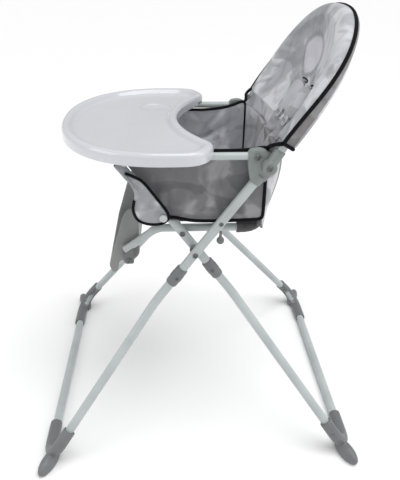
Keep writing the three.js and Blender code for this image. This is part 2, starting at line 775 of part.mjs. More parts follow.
addPiece(backrest, 'backrest_cover', backrestCover(), printedFabric);

// The cast knuckle joins each end of the backrest tube to its hinge bolt, outside the hub.
const knuckleWall = 2.2;
const knuckleOuterX = backTubeX + backTube / 2 + knuckleWall;
function backrestKnuckle() {
  const innerX = hubOuterX + gap;
  const boss = discX(0, 0, innerX, knuckleOuterX, 15);
  const sleeve = bentTube([point(backTubeX, 2, 0), point(backTubeX, 40, 0)], backTube + 2 * knuckleWall);
  const socket = sweptBack(backTube + 2 * slip, backTubePath(), backSteps);
  const inside = block(0, innerX, -60, 60, -60, 60);
  const bore = boreX(0, 0, 0, backTubeX + 40);
  return onBack(carve(boss, [sleeve], [socket, inside, bore]));
}
addPair(backrest, 'backrest_knuckle', backrestKnuckle(), hubPlastic);
const backBolt = boltX(backPivotY, backPivotZ, knuckleOuterX + gap, armBoltTip);
addPair(frontFrame, 'backrest_bolt', backBolt, screwSteel);

// Shoulder webbing with pads, lying in the hollow of the cover below its harness slots.
const shoulderX = 35;
const shoulderTopAlong = 158;
const strapLevel = backFrontDepth - backSag + 9;
const shoulderStrap = block(
  shoulderX - webWidth / 2,
  shoulderX + webWidth / 2,
  backHemAlong + 8,
  shoulderTopAlong,
  strapLevel,
  strapLevel + webThickness,
);
addPair(backrest, 'shoulder_strap', onBack(shoulderStrap), webbing);
const padHalf = 21;
const padLevel = strapLevel + webThickness + gap;
const shoulderPad = block(
  shoulderX - padHalf,
  shoulderX + padHalf,
  backHemAlong + 20,
  shoulderTopAlong - 10,
  padLevel,
  padLevel + 7,
);
addPair(backrest, 'shoulder_pad', onBack(shoulderPad), printedFabric);

// ---- tray ---------------------------------------------------------------------------------------

const tray = addBody();

// The tray's outline before the belly hollow, as a closed shape: round in front, squarer behind.
function trayShape(inset) {
  const shape = new THREE.Shape();
  const count = 44;
  for (let i = 0; i < count; i += 1) {
    const turn = (i / count) * Math.PI * 2;
    const front = Math.sin(turn) < 0;
    const power = front ? 2.2 : 5;
    const length = (front ? trayFrontLength : trayRearLength) - inset;
    const c = Math.cos(turn);
    const s = Math.sin(turn);
    const x = (trayHalfWidth - inset) * Math.sign(c) * Math.abs(c) ** (2 / power);
    const y = trayMiddleY + length * Math.sign(s) * Math.abs(s) ** (2 / power);
    if (i === 0) {
      shape.moveTo(x, y);
    } else {
      shape.lineTo(x, y);
    }
  }
  shape.closePath();
  return shape;
}

// A slice of the tray between two heights, with its outline and its hollow drawn in by inset.
function traySlice(inset, z0, z1) {
  const slice = new THREE.ExtrudeGeometry(trayShape(inset), { depth: z1 - z0, bevelEnabled: false });
  slice.translate(0, 0, z0);
  const belly = new THREE.CylinderGeometry(bellyRadius + inset, bellyRadius + inset, 80, 60);
  belly.rotateX(Math.PI / 2);
  belly.translate(0, bellyY, (z0 + z1) / 2);
  return carve(slice, [], [belly]);
}

const trayBottomZ = trayTopZ - trayHeight;
const trayFloorZ = trayTopZ - trayRecess;
const trayUnderZ = trayFloorZ - trayWall;
function trayMoulding() {
  const whole = traySlice(0, trayBottomZ, trayTopZ - 5);
  const crown = traySlice(5, trayTopZ - 6, trayTopZ);
  const recess = traySlice(trayRim, trayFloorZ, trayTopZ + 10);
  const under = traySlice(trayWall, trayBottomZ - 10, trayUnderZ);
  const notch = block(panelInnerX - 3, frontLegX + armTube / 2 + 1.5, trayMiddleY, 90, trayBottomZ - 5, trayUnderZ - 2);
  const otherNotch = notch.clone().translate(-(panelInnerX - 3 + frontLegX + armTube / 2 + 1.5), 0, 0);
  const cup = new THREE.CylinderGeometry(cupRadius, cupRadius, cupDepth * 2, 28);
  cup.rotateX(Math.PI / 2);
  cup.translate(cupX, cupY, trayFloorZ);
  return carve(whole, [crown], [recess, under, notch, otherNotch, cup]);
}
addPiece(tray, 'tray', trayMoulding(), whitePlastic);

// A clip under each side sits over the arm tube and slides along it.
const clipFrontY = -98;
const clipRearY = -34;
function trayClip() {
  const wall = 3.2;
  const half = armTube / 2 + slip + wall;
  const body = block(frontLegX - half, frontLegX + half, clipFrontY, clipRearY, armZ - 5, trayUnderZ - gap);
  const groove = bentTube([point(frontLegX, -200, armZ), point(frontLegX, 60, armZ)], armTube + 2 * slip);
  const open = armTube / 2 + slip;
  const mouth = block(frontLegX - open, frontLegX + open, -200, 60, armZ - 30, armZ);
  return carve(body, [], [groove, mouth]);
}
addPair(tray, 'tray_clip', trayClip(), whitePlastic);

export default chair;
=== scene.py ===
"""Looks for the folding baby high chair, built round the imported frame. Metres, +Z up."""
import json
from math import asin, ceil, copysign, cos, degrees, dist, exp, hypot, pi, radians, sin, sqrt, tan

import bmesh
import bpy
from mathutils import Matrix, Vector, noise

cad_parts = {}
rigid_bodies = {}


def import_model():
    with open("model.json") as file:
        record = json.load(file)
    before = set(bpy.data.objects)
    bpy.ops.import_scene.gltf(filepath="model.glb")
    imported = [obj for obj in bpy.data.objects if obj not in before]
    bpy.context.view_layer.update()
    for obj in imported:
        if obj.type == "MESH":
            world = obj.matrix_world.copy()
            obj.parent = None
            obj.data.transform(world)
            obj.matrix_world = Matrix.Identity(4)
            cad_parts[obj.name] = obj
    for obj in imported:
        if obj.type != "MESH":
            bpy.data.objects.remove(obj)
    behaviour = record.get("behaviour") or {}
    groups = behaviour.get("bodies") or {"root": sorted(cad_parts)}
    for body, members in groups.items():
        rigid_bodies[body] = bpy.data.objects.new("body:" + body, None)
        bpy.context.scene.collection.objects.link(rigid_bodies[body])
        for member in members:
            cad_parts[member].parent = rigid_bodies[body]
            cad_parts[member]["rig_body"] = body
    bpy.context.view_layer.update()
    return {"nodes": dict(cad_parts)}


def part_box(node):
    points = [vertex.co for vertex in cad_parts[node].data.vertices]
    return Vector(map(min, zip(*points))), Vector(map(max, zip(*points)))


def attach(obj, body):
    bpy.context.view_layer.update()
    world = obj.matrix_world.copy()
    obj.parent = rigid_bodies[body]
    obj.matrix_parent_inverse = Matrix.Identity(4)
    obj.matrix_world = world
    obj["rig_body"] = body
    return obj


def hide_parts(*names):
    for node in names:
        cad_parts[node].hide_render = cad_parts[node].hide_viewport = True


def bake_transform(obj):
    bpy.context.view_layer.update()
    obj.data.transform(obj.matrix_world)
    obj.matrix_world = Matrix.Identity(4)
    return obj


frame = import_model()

NODES = frame["nodes"]
MM = 0.001
SIDES = ("left", "right")
EASE = 0.8  # mm that a tube's end is rounded by


def mm(x, y, z):
    return Vector((x, y, z)) * MM


def path(*places):
    return [mm(*place) for place in places]


def clamped(value):
    return min(max(value, 0), 1)


def bowed(value, power):
    """A power of the value with its sign kept."""
    return copysign(abs(value) ** power, value)


# ---- modelling helpers ----


def only(piece):
    """Selects one piece and makes it the active one, in object mode."""
    if bpy.context.object and bpy.context.object.mode != "OBJECT":
        bpy.ops.object.mode_set(mode="OBJECT")
    bpy.ops.object.select_all(action="DESELECT")
    piece.select_set(True)
    bpy.context.view_layer.objects.active = piece
    return piece


def nothing_selected():
    only(next(iter(NODES.values()))).select_set(False)


def named(name):
    """Names the primitive just added and puts its place into its mesh."""
    piece = bpy.context.object
    piece.name = name
    bpy.ops.object.transform_apply(location=True, rotation=True, scale=True)
    return piece


def linked(name, data):
    """A new object in the scene."""
    piece = bpy.data.objects.new(name, data)
    bpy.context.scene.collection.objects.link(piece)
    return piece


def finish_with(piece, kind, **settings):
    only(piece)
    made = piece.modifiers.new(kind.title(), kind)
    for key, value in settings.items():
        setattr(made, key, value)
    bpy.ops.object.modifier_apply(modifier=made.name)
    return piece


def edit_all():
    bpy.ops.object.mode_set(mode="EDIT")
    bpy.ops.mesh.select_all(action="SELECT")


def tidy_mesh(piece, merge=0.01 * MM):
    """Merges doubles and turns every face outwards."""
    only(piece)
    edit_all()
    bpy.ops.mesh.remove_doubles(threshold=merge)
    bpy.ops.mesh.normals_make_consistent(inside=False)
    bpy.ops.object.mode_set(mode="OBJECT")
    return piece


def smooth(piece, angle=40):
    only(piece)
    bpy.ops.object.shade_smooth_by_angle(angle=radians(angle))
    return piece


def extruded(piece, move):
    """Extrudes the selected end and moves its vertices by a function of their place."""
    bpy.ops.mesh.extrude_region_move(TRANSFORM_OT_translate={"value": (0, 0, 0)})
    mesh = bmesh.from_edit_mesh(piece.data)
    for vertex in mesh.verts:
        if vertex.select:
            vertex.co = move(vertex.co)
    bmesh.update_edit_mesh(piece.data)


def start_disc(name, at, way, radius, sides):
    nothing_selected()
    turn = Vector(way).to_track_quat("Z", "Y").to_euler()
    bpy.ops.mesh.primitive_circle_add(
        vertices=sides, radius=radius, location=at, rotation=turn, fill_type="NGON"
    )
    piece = named(name)
    edit_all()
    return piece


def turned(name, at, way, stations, sides=28):
    """A piece turned about the line from at along way; stations are (distance, radius) in mm."""
    at, way = Vector(at), Vector(way).normalized()
    (start, radius), *rest = [(along * MM, wide * MM) for along, wide in stations]
    piece = start_disc(name, at + way * start, way, radius, sides)
    for distance, wider in rest:
        centre = at + way * start
        moved = at + way * distance
        scale = wider / radius
        extruded(piece, lambda co: moved + (co - centre) * scale)
        start, radius = distance, wider
    return smooth(tidy_mesh(piece))


def bent_path(corners, bends, step=9):
    """Start, direction and moves that carry a disc along a path, each inner corner bent."""
    corners = [Vector(c) for c in corners]
    moves = []
    here = corners[0]
    for i, bend in enumerate(bends):
        corner, after = corners[i + 1], corners[i + 2]
        into = (corner - corners[i]).normalized()
        out = (after - corner).normalized()
        turn = into.angle(out)
        start = corner - into * (bend * tan(turn / 2))
        moves.append(Matrix.Translation(start - here))
        axis = into.cross(out).normalized()
        centre = start + axis.cross(into) * bend
        count = max(2, ceil(degrees(turn) / step))
        part = Matrix.Rotation(turn / count, 4, axis)
        spin = Matrix.Translation(centre) @ part @ Matrix.Translation(-centre)
        moves.extend([spin] * count)
        here = start.copy()
        for _ in range(count):
            here = spin @ here
    moves.append(Matrix.Translation(corners[-1] - here))
    return corners[0], (corners[1] - corners[0]).normalized(), moves


def bent_bar(name, corners, radius, bends=(), sides=28):
    """A round tube along corner points, its ends eased."""
    at, way, moves = bent_path(corners, bends)
    ease = EASE * MM
    piece = start_disc(name, at, way, radius - ease, sides)
    centre = Vector(at)
    grow = radius / (radius - ease)
    extruded(piece, lambda co: centre + way * ease + (co - centre) * grow)
    for move in moves:
        extruded(piece, lambda co: move @ co)
        centre = move @ centre
    mesh = bmesh.from_edit_mesh(piece.data)
    end = [v.co.copy() for v in mesh.verts if v.select]
    middle = sum(end, Vector()) / len(end)
    extruded(piece, lambda co: middle + (co - middle) / grow)
    return smooth(tidy_mesh(piece))


def grid_of(name, rows):
    """A grid with its vertices moved to rows of points."""
    nothing_selected()
    across, up = len(rows[0]) - 1, len(rows) - 1
    bpy.ops.mesh.primitive_grid_add(x_subdivisions=across, y_subdivisions=up, size=1)
    piece = named(name)
    points = [p for row in rows for p in row]
    for vertex, place in zip(piece.data.vertices, points, strict=True):
        vertex.co = place
    return piece


def cloth(name, rows, thickness):
    """A sheet through rows of points, given its thickness."""
    piece = grid_of(name, rows)
    if thickness:
        finish_with(piece, "SOLIDIFY", thickness=thickness, offset=0)
    return smooth(tidy_mesh(piece), 50)


def rows_of(ups, acrosses, place):
    """Rows of the points place(v, u), where v and u run from 0 to 1."""
    shares = [i / acrosses for i in range(acrosses + 1)]
    return [[place(k / ups, u) for u in shares] for k in range(ups + 1)]


def flat_area(rows):
    """Area of the sheet through rows of points."""
    total = 0
    for low, high in zip(rows, rows[1:]):
        for a, b, c, d in zip(low, low[1:], high, high[1:]):
            total += ((b - a).cross(c - a).length + (b - d).cross(c - d).length) / 2
    return total


def mirrored(points):
    """The points of a left half, mirrored and in reverse order."""
    return [Vector((-p.x, p.y, p.z)) for p in reversed(points)]


def curve_through(points, count, closed=False):
    """Points spaced along a smooth curve through the given ones."""
    points = [Vector(p) for p in points]
    total = len(points)
    spans = total if closed else total - 1
    made = []
    for i in range(count if closed else count + 1):
        at = i * spans / count
        k = min(int(at), spans - 1)
        t = at - k
        if closed:
            a, b, c, d = (points[(k + j) % total] for j in (-1, 0, 1, 2))
        else:
            a, b, c, d = (points[min(max(k + j, 0), total - 1)] for j in (-1, 0, 1, 2))
        made.append(
            (b * 2 + (c - a) * t + (a * 2 - b * 5 + c * 4 - d) * t * t
             + (b * 3 - a - c * 3 + d) * t * t * t) / 2
        )
    return made


def cord_along(name, points, radius, closed=False, sides=5):
    """A round binding along points."""
    line = bpy.data.curves.new(name, "CURVE")
    line.dimensions = "3D"
    line.bevel_depth = radius
    line.bevel_resolution = sides
    line.use_fill_caps = True
    spline = line.splines.new("POLY")
    spline.points.add(len(points) - 1)
    for point, place in zip(spline.points, points):
        point.co = (*place, 1)
    spline.use_cyclic_u = closed
    only(linked(name, line))
    bpy.ops.object.convert(target="MESH")
    return smooth(tidy_mesh(bpy.context.object), 60)


def moulded(node, voxel, relax):
    """A CAD node's shape with its edges rounded like a moulding's."""
    piece = linked(node + "_moulding", NODES[node].data.copy())
    piece.data.materials.clear()
    tidy_mesh(piece)
    finish_with(piece, "REMESH", mode="VOXEL", voxel_size=voxel * MM)
    finish_with(piece, "SMOOTH", factor=0.5, iterations=relax)
    only(piece)
    bpy.ops.object.shade_smooth()
    return piece


def twin(piece):
    """The same piece for the chair's right side."""
    only(piece)
    bpy.ops.object.duplicate()
    other = bpy.context.object
    other.name = piece.name.replace("left", "right")
    other.scale.x = -1
    bpy.ops.object.transform_apply(location=False, rotation=False, scale=True)
    return tidy_mesh(other)


def fit(piece, look, *nodes, body=None, slot=None):
    """Gives a piece its finish and its body, and hides the CAD nodes that it stands for."""
    piece.data.materials.clear()
    piece.data.materials.append(look.material)
    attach(piece, body or NODES[nodes[0]]["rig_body"])
    if nodes:
        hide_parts(*nodes)
    return piece


def fit_pair(piece, look, node=None, body=None, slot=None):
    """Fits a left piece and its twin, each to its own side's node."""
    pieces = piece, twin(piece)
    for made, side in zip(pieces, SIDES):
        nodes = [f"{node}_{side}"] if node else []
        fit(made, look, *nodes, body=body, slot=slot)
    return pieces


def swollen(piece, voxel, cap, pressure=4.0, frames=20):
    """Blows a pad up like stuffed cloth, no point moving further than cap."""
    tidy_mesh(piece)
    finish_with(piece, "REMESH", mode="VOXEL", voxel_size=voxel * MM)
    before = [v.co.copy() for v in piece.data.vertices]
    only(piece)
    cloth_sim = piece.modifiers.new("Cloth", "CLOTH")
    cloth_sim.settings.use_pressure = True
    cloth_sim.settings.uniform_pressure_force = pressure
    cloth_sim.settings.effector_weights.gravity = 0
    for number in range(1, frames + 1):
        bpy.context.scene.frame_set(number)
    bpy.ops.object.modifier_apply(modifier=cloth_sim.name)
    bpy.context.scene.frame_set(1)
    for vertex, start in zip(piece.data.vertices, before):
        move = vertex.co - start
        if move.length > cap * MM:
            vertex.co = start + move.normalized() * cap * MM
    finish_with(piece, "SMOOTH", factor=0.5, iterations=4)
    only(piece)
    bpy.ops.object.shade_smooth()
    return piece


# ---- finishes ----


class Signal:
    """A value that varies over a surface; arithmetic on it adds the nodes."""

    def __init__(self, look, socket):
        self.look = look
        self.socket = socket

    def _math(self, operation, first, second):
        return self.look.node("ShaderNodeMath", {0: first, 1: second}, operation=operation)

    def __add__(self, other):
        return self._math("ADD", self, other)

    def __sub__(self, other):
        return self._math("SUBTRACT", self, other)

    def __rsub__(self, other):
        return self._math("SUBTRACT", other, self)

    def __mul__(self, other):
        return self._math("MULTIPLY", self, other)

    __radd__ = __add__
    __rmul__ = __mul__

    def between(self, low, high):
        """0 below low, 1 above high, smooth between."""
        return self.look.node(
            "ShaderNodeMapRange",
            {"Value": self, "From Min": low, "From Max": high},
            interpolation_type="SMOOTHSTEP",
        )

    def sine(self):
        return self.look.node("ShaderNodeMath", {0: self}, operation="SINE")


def socket_name(word):
    return word.replace("_", " ").title().replace("Ior", "IOR")


class Look:
    """One finish: a Principled shader and the nodes that vary it."""

    def __init__(self, name, **fixed):
        self.material = bpy.data.materials.new(name)
        self.material.use_nodes = True
        self.tree = self.material.node_tree
        self.shader = self.tree.nodes["Principled BSDF"]
        for key, value in fixed.items():
            self.shader.inputs[socket_name(key)].default_value = value
        self.place = self.node("ShaderNodeTexCoord", out="Object")

    def node(self, kind, sockets=None, out=0, **settings):
        made = self.tree.nodes.new(kind)
        for key, value in settings.items():
            setattr(made, key, value)
        for key, value in (sockets or {}).items():
            if isinstance(value, Signal):
                self.tree.links.new(value.socket, made.inputs[key])
            else:
                made.inputs[key].default_value = value
        return Signal(self, made.outputs[out])

    def noise(self, scale, detail=3.0, distortion=0.0, at=None):
        sockets = {"Vector": at or self.place, "Scale": scale, "Detail": detail}
        return self.node("ShaderNodeTexNoise", {**sockets, "Distortion": distortion})

    def stretched(self, scale, turn=(0, 0, 0)):
        sockets = {"Vector": self.place, "Scale": scale, "Rotation": turn}
        return self.node("ShaderNodeMapping", sockets)

    def mix(self, factor, first, second):
        def full(color):
            return color if isinstance(color, Signal) else (*color, 1)

        sockets = {0: factor, 6: full(first), 7: full(second)}
        return self.node("ShaderNodeMix", sockets, out=2, data_type="RGBA")

    def weave(self, pitch):
        """Crossed threads, pitch metres apart, on a surface facing any way."""
        parts = self.node("ShaderNodeSeparateXYZ", {0: self.place})
        x, y, z = (Signal(self, parts.socket.node.outputs[i]) for i in range(3))
        rate = 2 * pi / pitch
        warp = ((x + y * 0.7) * rate).sine()
        weft = ((z - y * 0.7) * rate).sine()
        return warp * weft

    def give(self, **varying):
        for key, value in varying.items():
            self.tree.links.new(value.socket, self.shader.inputs[socket_name(key)])
        return self

    def raised(self, height, depth):
        """Relief from a height signal, depth metres at 1."""
        sockets = {"Height": height, "Distance": depth, "Strength": 1.0}
        return self.give(normal=self.node("ShaderNodeBump", sockets))


def shade(color, share):
    return tuple(c * share for c in color)


def painted(name, color):
    """Powder coat: faint orange peel, handling marks in the gloss."""
    look = Look(name, coat_weight=0.25, coat_roughness=0.25)
    broad = look.noise(14, 3)
    fine = look.noise(1400, 2)
    look.give(base_color=look.mix(broad.between(0.35, 0.7), color, shade(color, 0.88)))
    look.give(roughness=broad * 0.12 + look.noise(160, 3) * 0.1 + 0.27)
    return look.raised(fine, 0.00008)


def moulding(name, color, rough, grain, gloss=0.0, drift=0.86):
    """Moulded plastic: fine spark texture, faint flow marks and scuffs."""
    look = Look(name, coat_weight=gloss, coat_roughness=0.12)
    flow = look.noise(9, 4, 0.8)
    scuff = look.noise(220, 6).between(0.58, 0.72)
    lighter = tuple(min(1, c * 1.12 + 0.01) for c in color)
    base = look.mix(flow.between(0.35, 0.7), color, shade(color, drift))
    look.give(base_color=look.mix(scuff * 0.25, base, lighter))
    look.give(roughness=flow * 0.08 + scuff * 0.07 + rough)
    return look.raised(look.noise(900, 3), grain)


def printed_cloth(name, light, middle, dark, pitch=0.0011):
    """Woven polyester with a soft watercolour print of overlapping washes."""
    look = Look(name, sheen_weight=0.15, sheen_roughness=0.5)
    drift = look.noise(5, 2)
    wash = look.noise(8.5, 2.5, 1.1)
    patch = look.noise(6.2, 3.5, 0.7, look.stretched((1.1, 0.8, 1.25), (0.5, 0.3, 0.9)))
    streak = look.noise(11, 7, 1.6, look.stretched((3.2, 1.1, 0.7), (0.4, 0.2, 0.6)))
    base = look.mix(wash.between(0.44, 0.60), light, middle)
    base = look.mix(streak.between(0.46, 0.7) * 0.45, base, dark)
    filled = patch.between(0.545, 0.575)
    edge = patch.between(0.528, 0.546) * (1 - patch.between(0.55, 0.572))
    base = look.mix(filled * 0.62, base, dark)
    base = look.mix(edge * 0.35, base, shade(dark, 0.7))
    speck = look.noise(1700, 2).between(0.35, 0.75)
    base = look.mix(speck * 0.1, base, shade(dark, 0.6))
    look.give(base_color=look.mix(drift.between(0.4, 0.75) * 0.2, base, light))
    look.give(roughness=speck * 0.1 + 0.78)
    crumple = look.noise(26, 4, 0.6)
    return look.raised(look.weave(pitch) * 0.12 + crumple * 3.2, 0.0011)


def with_petal(look, centre, reach):
    """Adds one pale printed petal with a darker outline."""
    ends = {0: look.place, 1: centre}
    away = look.node("ShaderNodeVectorMath", ends, out=1, operation="DISTANCE")
    inside = 1 - away.between(reach * 0.93, reach)
    outline = away.between(reach * 0.88, reach) * (1 - away.between(reach * 1.02, reach * 1.14))
    link = look.shader.inputs["Base Color"].links[0]
    base = Signal(look, link.from_socket)
    base = look.mix(inside * 0.75, base, (0.70, 0.69, 0.74))
    return look.give(base_color=look.mix(outline * 0.55, base, (0.25, 0.25, 0.275)))


def webbing_cloth(name, color, pitch=0.0024, sheen=0.1):
    """Ribbed tape: threads across, slightly uneven colour."""
    look = Look(name, sheen_weight=sheen, specular_ior_level=0.2)
    tone = look.noise(60, 4)
    look.give(base_color=look.mix(tone.between(0.3, 0.75), color, shade(color, 0.7)))
    look.give(roughness=look.noise(500, 2) * 0.15 + 0.72)
    return look.raised(look.weave(pitch), 0.00035)


def bare_steel(name, color):
    look = Look(name, metallic=0.85)
    streak = look.noise(300, 4, 0.0, look.stretched((1, 6, 6)))
    look.give(base_color=look.mix(streak, color, shade(color, 0.55)))
    look.give(roughness=streak * 0.25 + 0.25)
    return look.raised(streak, 0.00005)


PAINT = painted("silver_green_paint", (0.47, 0.515, 0.51))
GREY = moulding("grey_moulding", (0.165, 0.17, 0.172), 0.42, 0.00012)
FOOTREST = moulding("footrest_moulding", (0.25, 0.256, 0.25), 0.42, 0.0001)
HUB = moulding("hub_moulding", (0.24, 0.27, 0.255), 0.4, 0.00008)
TRAY = moulding("tray_gloss", (0.60, 0.615, 0.65), 0.16, 0.00002, gloss=0.6, drift=0.975)
PALE = moulding("pale_moulding", (0.55, 0.57, 0.57), 0.35, 0.00005)
CLOTH = printed_cloth(
    "printed_cloth", (0.70, 0.70, 0.74), (0.42, 0.425, 0.455), (0.20, 0.205, 0.222)
)
# A darker copy of the printed cloth, its darkness painted shade: for the side panels' outer faces
# and the rear panel.
SHADED_CLOTH = printed_cloth(
    "side_cloth", (0.36, 0.355, 0.372), (0.20, 0.197, 0.205), (0.095, 0.097, 0.103)
)
EDGE_CLOTH = printed_cloth(
    "edge_cloth", (0.33, 0.322, 0.33), (0.235, 0.228, 0.23), (0.10, 0.098, 0.10)
)
PAD_CLOTH = printed_cloth("pad_cloth", (0.62, 0.62, 0.66), (0.50, 0.50, 0.53), (0.36, 0.365, 0.385))
BINDING = webbing_cloth("black_binding", (0.004, 0.004, 0.006), 0.0013, sheen=0.0)
TAPE = webbing_cloth("grey_webbing", (0.50, 0.50, 0.53))
STEEL = bare_steel("bolt_steel", (0.20, 0.20, 0.21))
DARK = webbing_cloth("dark_roll", (0.13, 0.125, 0.127), 0.0016)

FRONT_CLOTH = {"body": "front_frame", "slot": "printed_fabric"}
BACK_CLOTH = {"body": "backrest", "slot": "printed_fabric"}
SEAT_CLOTH = {"body": "seat", "slot": "printed_fabric"}

# ---- places ----

SLOPE = radians(54.2)
LEG_RADIUS, ARM_RADIUS, RAIL_RADIUS, BACK_RADIUS = 10.5 * MM, 8 * MM, 9 * MM, 9.4 * MM
CROSS_Y, CROSS_Z = -8, 505
RAIL_Z, RAIL_REAR_Y = 543.1, 138
FRONT_X, REAR_X = 195, 164
ARM_Z = 731
PIN = (-75.9, 599.1)
HUB_BOLT = (114.8, 731)
BACK_HINGE = (138.8, 714)
BACK_ANGLE = radians(58.7)
BAR_Y, BAR_Z = 363, 13


def front_line(along):
    return mm(FRONT_X, CROSS_Y + along * cos(SLOPE), CROSS_Z + along * sin(SLOPE))


def rear_line(along):
    return mm(REAR_X, CROSS_Y - along * cos(SLOPE), CROSS_Z + along * sin(SLOPE))


def on_back(x, along, ahead):
    """A point on the backrest: across, up from its hinge, in front of the tube's axis; in mm."""
    y, z = BACK_HINGE
    s, c = sin(BACK_ANGLE), cos(BACK_ANGLE)
    return mm(x, y + along * c - ahead * s, z + along * s + ahead * c)


# ---- legs, connectors, floor bars, pads ----


def leg(name, line, top):
    """A straight tube along a leg's line, its ends eased."""
    run = line(top) - line(-65)
    long, thin, wide = run.length / MM, LEG_RADIUS / MM - EASE, LEG_RADIUS / MM
    stations = [(0, thin), (EASE, wide), (long - EASE, wide), (long, thin)]
    return turned(name, line(-65), run, stations, 32)


fit_pair(leg("front_leg_left_tube", front_line, 221.9), PAINT, "front_leg")
fit_pair(leg("rear_leg_left_tube", rear_line, 125), PAINT, "rear_leg")


def connector(name, line):
    """A sleeve with a stepped middle band and softened mouths."""
    way = line(1) - line(0)
    profile = [(-24, 11.2), (-23.2, 12.6), (-21, 13.4), (-8, 13.7), (-7, 14.3), (7, 14.3)]
    profile += [(8, 13.7), (21, 13.4), (23.2, 12.6), (24, 11.2)]
    return turned(name, line(-70), way, profile, 32)


fit_pair(connector("front_connector_left_sleeve", front_line), GREY, "front_connector")
fit_pair(connector("rear_connector_left_sleeve", rear_line), GREY, "rear_connector")


def floor_frame(name, line, bend_along, bar_y):
    half = [line(-75), line(-bend_along), mm(333, bar_y, BAR_Z)]
    bends = [b * MM for b in (110, 46, 46, 110)]
    return bent_bar(name, half + mirrored(half), LEG_RADIUS, bends, 32)


fit(floor_frame("front_lower_bar", front_line, 155, -BAR_Y), PAINT, "front_lower_frame")
fit(floor_frame("rear_lower_bar", rear_line, 150, BAR_Y), PAINT, "rear_lower_frame")

for end in ("front", "rear"):
    for side in SIDES:
        fit(moulded(f"{end}_foot_pad_{side}", 1.5, 5), GREY, f"{end}_foot_pad_{side}")


def bolt(name, y, z, head, tip, size=6.5):
    """A domed bolt along X with a round driver socket."""
    up = size / 6.5
    profile = [(tip - head, 3), (0, 3), (0.1, size - 0.4), (0.6 * up, size)]
    profile += [(1.6 * up, size * 0.93), (2.5 * up, size * 0.74), (3.1 * up, size * 0.45)]
    profile += [(3.0 * up, size * 0.4), (1.2 * up, size * 0.38)]
    return turned(name, mm(head, y, z), (1, 0, 0), profile, 24)


BOLTS = {
    "cross_bolt": (CROSS_Y, CROSS_Z, 205.9, 151),
    "arm_bolt": (*HUB_BOLT, 205.8, 184),
    "backrest_bolt": (*BACK_HINGE, 225.6, 184),
    "seat_pivot_bolt": (-35.5, RAIL_Z, 174.9, 141.4),
    "footrest_bolt": (-158, 464.1, 152.4, 125),
}
for node, place in BOLTS.items():
    fit_pair(bolt(f"{node}_left_screw", *place), STEEL, node)

EXTRA_BOLTS = {
    "front_connector": (*front_line(-70).yz / MM, 209.2, 200, "front_frame"),
    "rear_connector": (*rear_line(-70).yz / MM, 178.2, 170, "rear_frame"),
    "front_leg_lock": (*front_line(94).yz / MM, 205.2, 200, "front_frame"),
    "front_pad": (-323.8, 66, 325.5, 316, "front_frame"),
    "rear_pad": (323.8, 66, 325.5, 316, "rear_frame"),
}
for name, (y, z, head, tip, body) in EXTRA_BOLTS.items():
    screw = bolt(f"{name}_left_screw", y, z, head, tip, 5)
    fit_pair(screw, STEEL, body=body, slot="bolt_steel")

spacer = [(0, 8), (0.3, 11), (1.2, 11.5), (7.4, 11.5), (8.6, 11), (8.9, 8)]
washer = turned("cross_spacer_left_washer", mm(174.9, CROSS_Y, CROSS_Z), (1, 0, 0), spacer)
fit_pair(washer, GREY, "cross_spacer")

# ---- arm tubes, hubs, pins, lock knobs ----

arm_corners = path((FRONT_X, 123, ARM_Z), (FRONT_X, -175.9, ARM_Z), (FRONT_X, *PIN))
fit_pair(bent_bar("arm_tube_left_bar", arm_corners, ARM_RADIUS, [20 * MM]), PAINT, "arm_tube")
for side in SIDES:
    fit(moulded(f"hub_{side}", 1.0, 5), HUB, f"hub_{side}")
    fit(moulded(f"backrest_knuckle_{side}", 1.0, 5), HUB, f"backrest_knuckle_{side}")
    fit(moulded(f"tray_clip_{side}", 0.8, 2), PALE, f"tray_clip_{side}")
    fit(moulded(f"footrest_bracket_{side}", 0.9, 4), GREY, f"footrest_bracket_{side}")

pin_profile = [(-19.6, 3), (-19.5, 7), (-8.6, 7), (-8.5, 3), (12.5, 3), (12.6, 7.6), (13.2, 8.4)]
pin_profile += [(14.6, 8.5), (15.6, 7.8), (16.0, 6), (15.4, 5.2), (15.4, 2)]
boss = turned("arm_pin_left_boss", mm(FRONT_X, *PIN), (1, 0, 0), pin_profile)
fit_pair(boss, PALE, "arm_pin")

for side, x in (("left", FRONT_X), ("right", -FRONT_X)):
    y, z = front_line(94).yz / MM
    turns = [radians(a) for a in range(-80, 61, 10)]
    ball = [(8.5 * sin(a), 8.5 * cos(a)) for a in turns]
    stem = [(9, 3.4), (13, 3), (21.4, 3)]
    knob = turned(f"lock_knob_{side}_ball", mm(x, y, z - 44), (0, 0, 1), ball + stem)
    fit(knob, GREY, f"lock_knob_{side}")

# ---- seat rail and footrest ----

rail_half = path((143, -167, 487.1), (143, -92, RAIL_Z), (143, RAIL_REAR_Y, RAIL_Z))
rail_corners = rail_half + mirrored(rail_half)
rail_bends = [b * MM for b in (50, 36, 36, 50)]
fit(bent_bar("seat_rail_bar", rail_corners, RAIL_RADIUS, rail_bends), PAINT, "seat_rail")
fit(moulded("footrest", 1.5, 4), FOOTREST, "footrest")

# ---- tray ----

TRAY_HALF, TRAY_MIDDLE, TRAY_FRONT, TRAY_REAR = 263, -70, 230, 108
BELLY_RADIUS, BELLY_Y = 291, 249


def tray_outer(turn, inset):
    c, s = cos(turn), sin(turn)
    power, length = (2.2, TRAY_FRONT) if s < 0 else (4.2, TRAY_REAR)
    x = (TRAY_HALF - inset) * bowed(c, 2 / power)
    return x, TRAY_MIDDLE + (length - inset) * bowed(s, 2 / power)


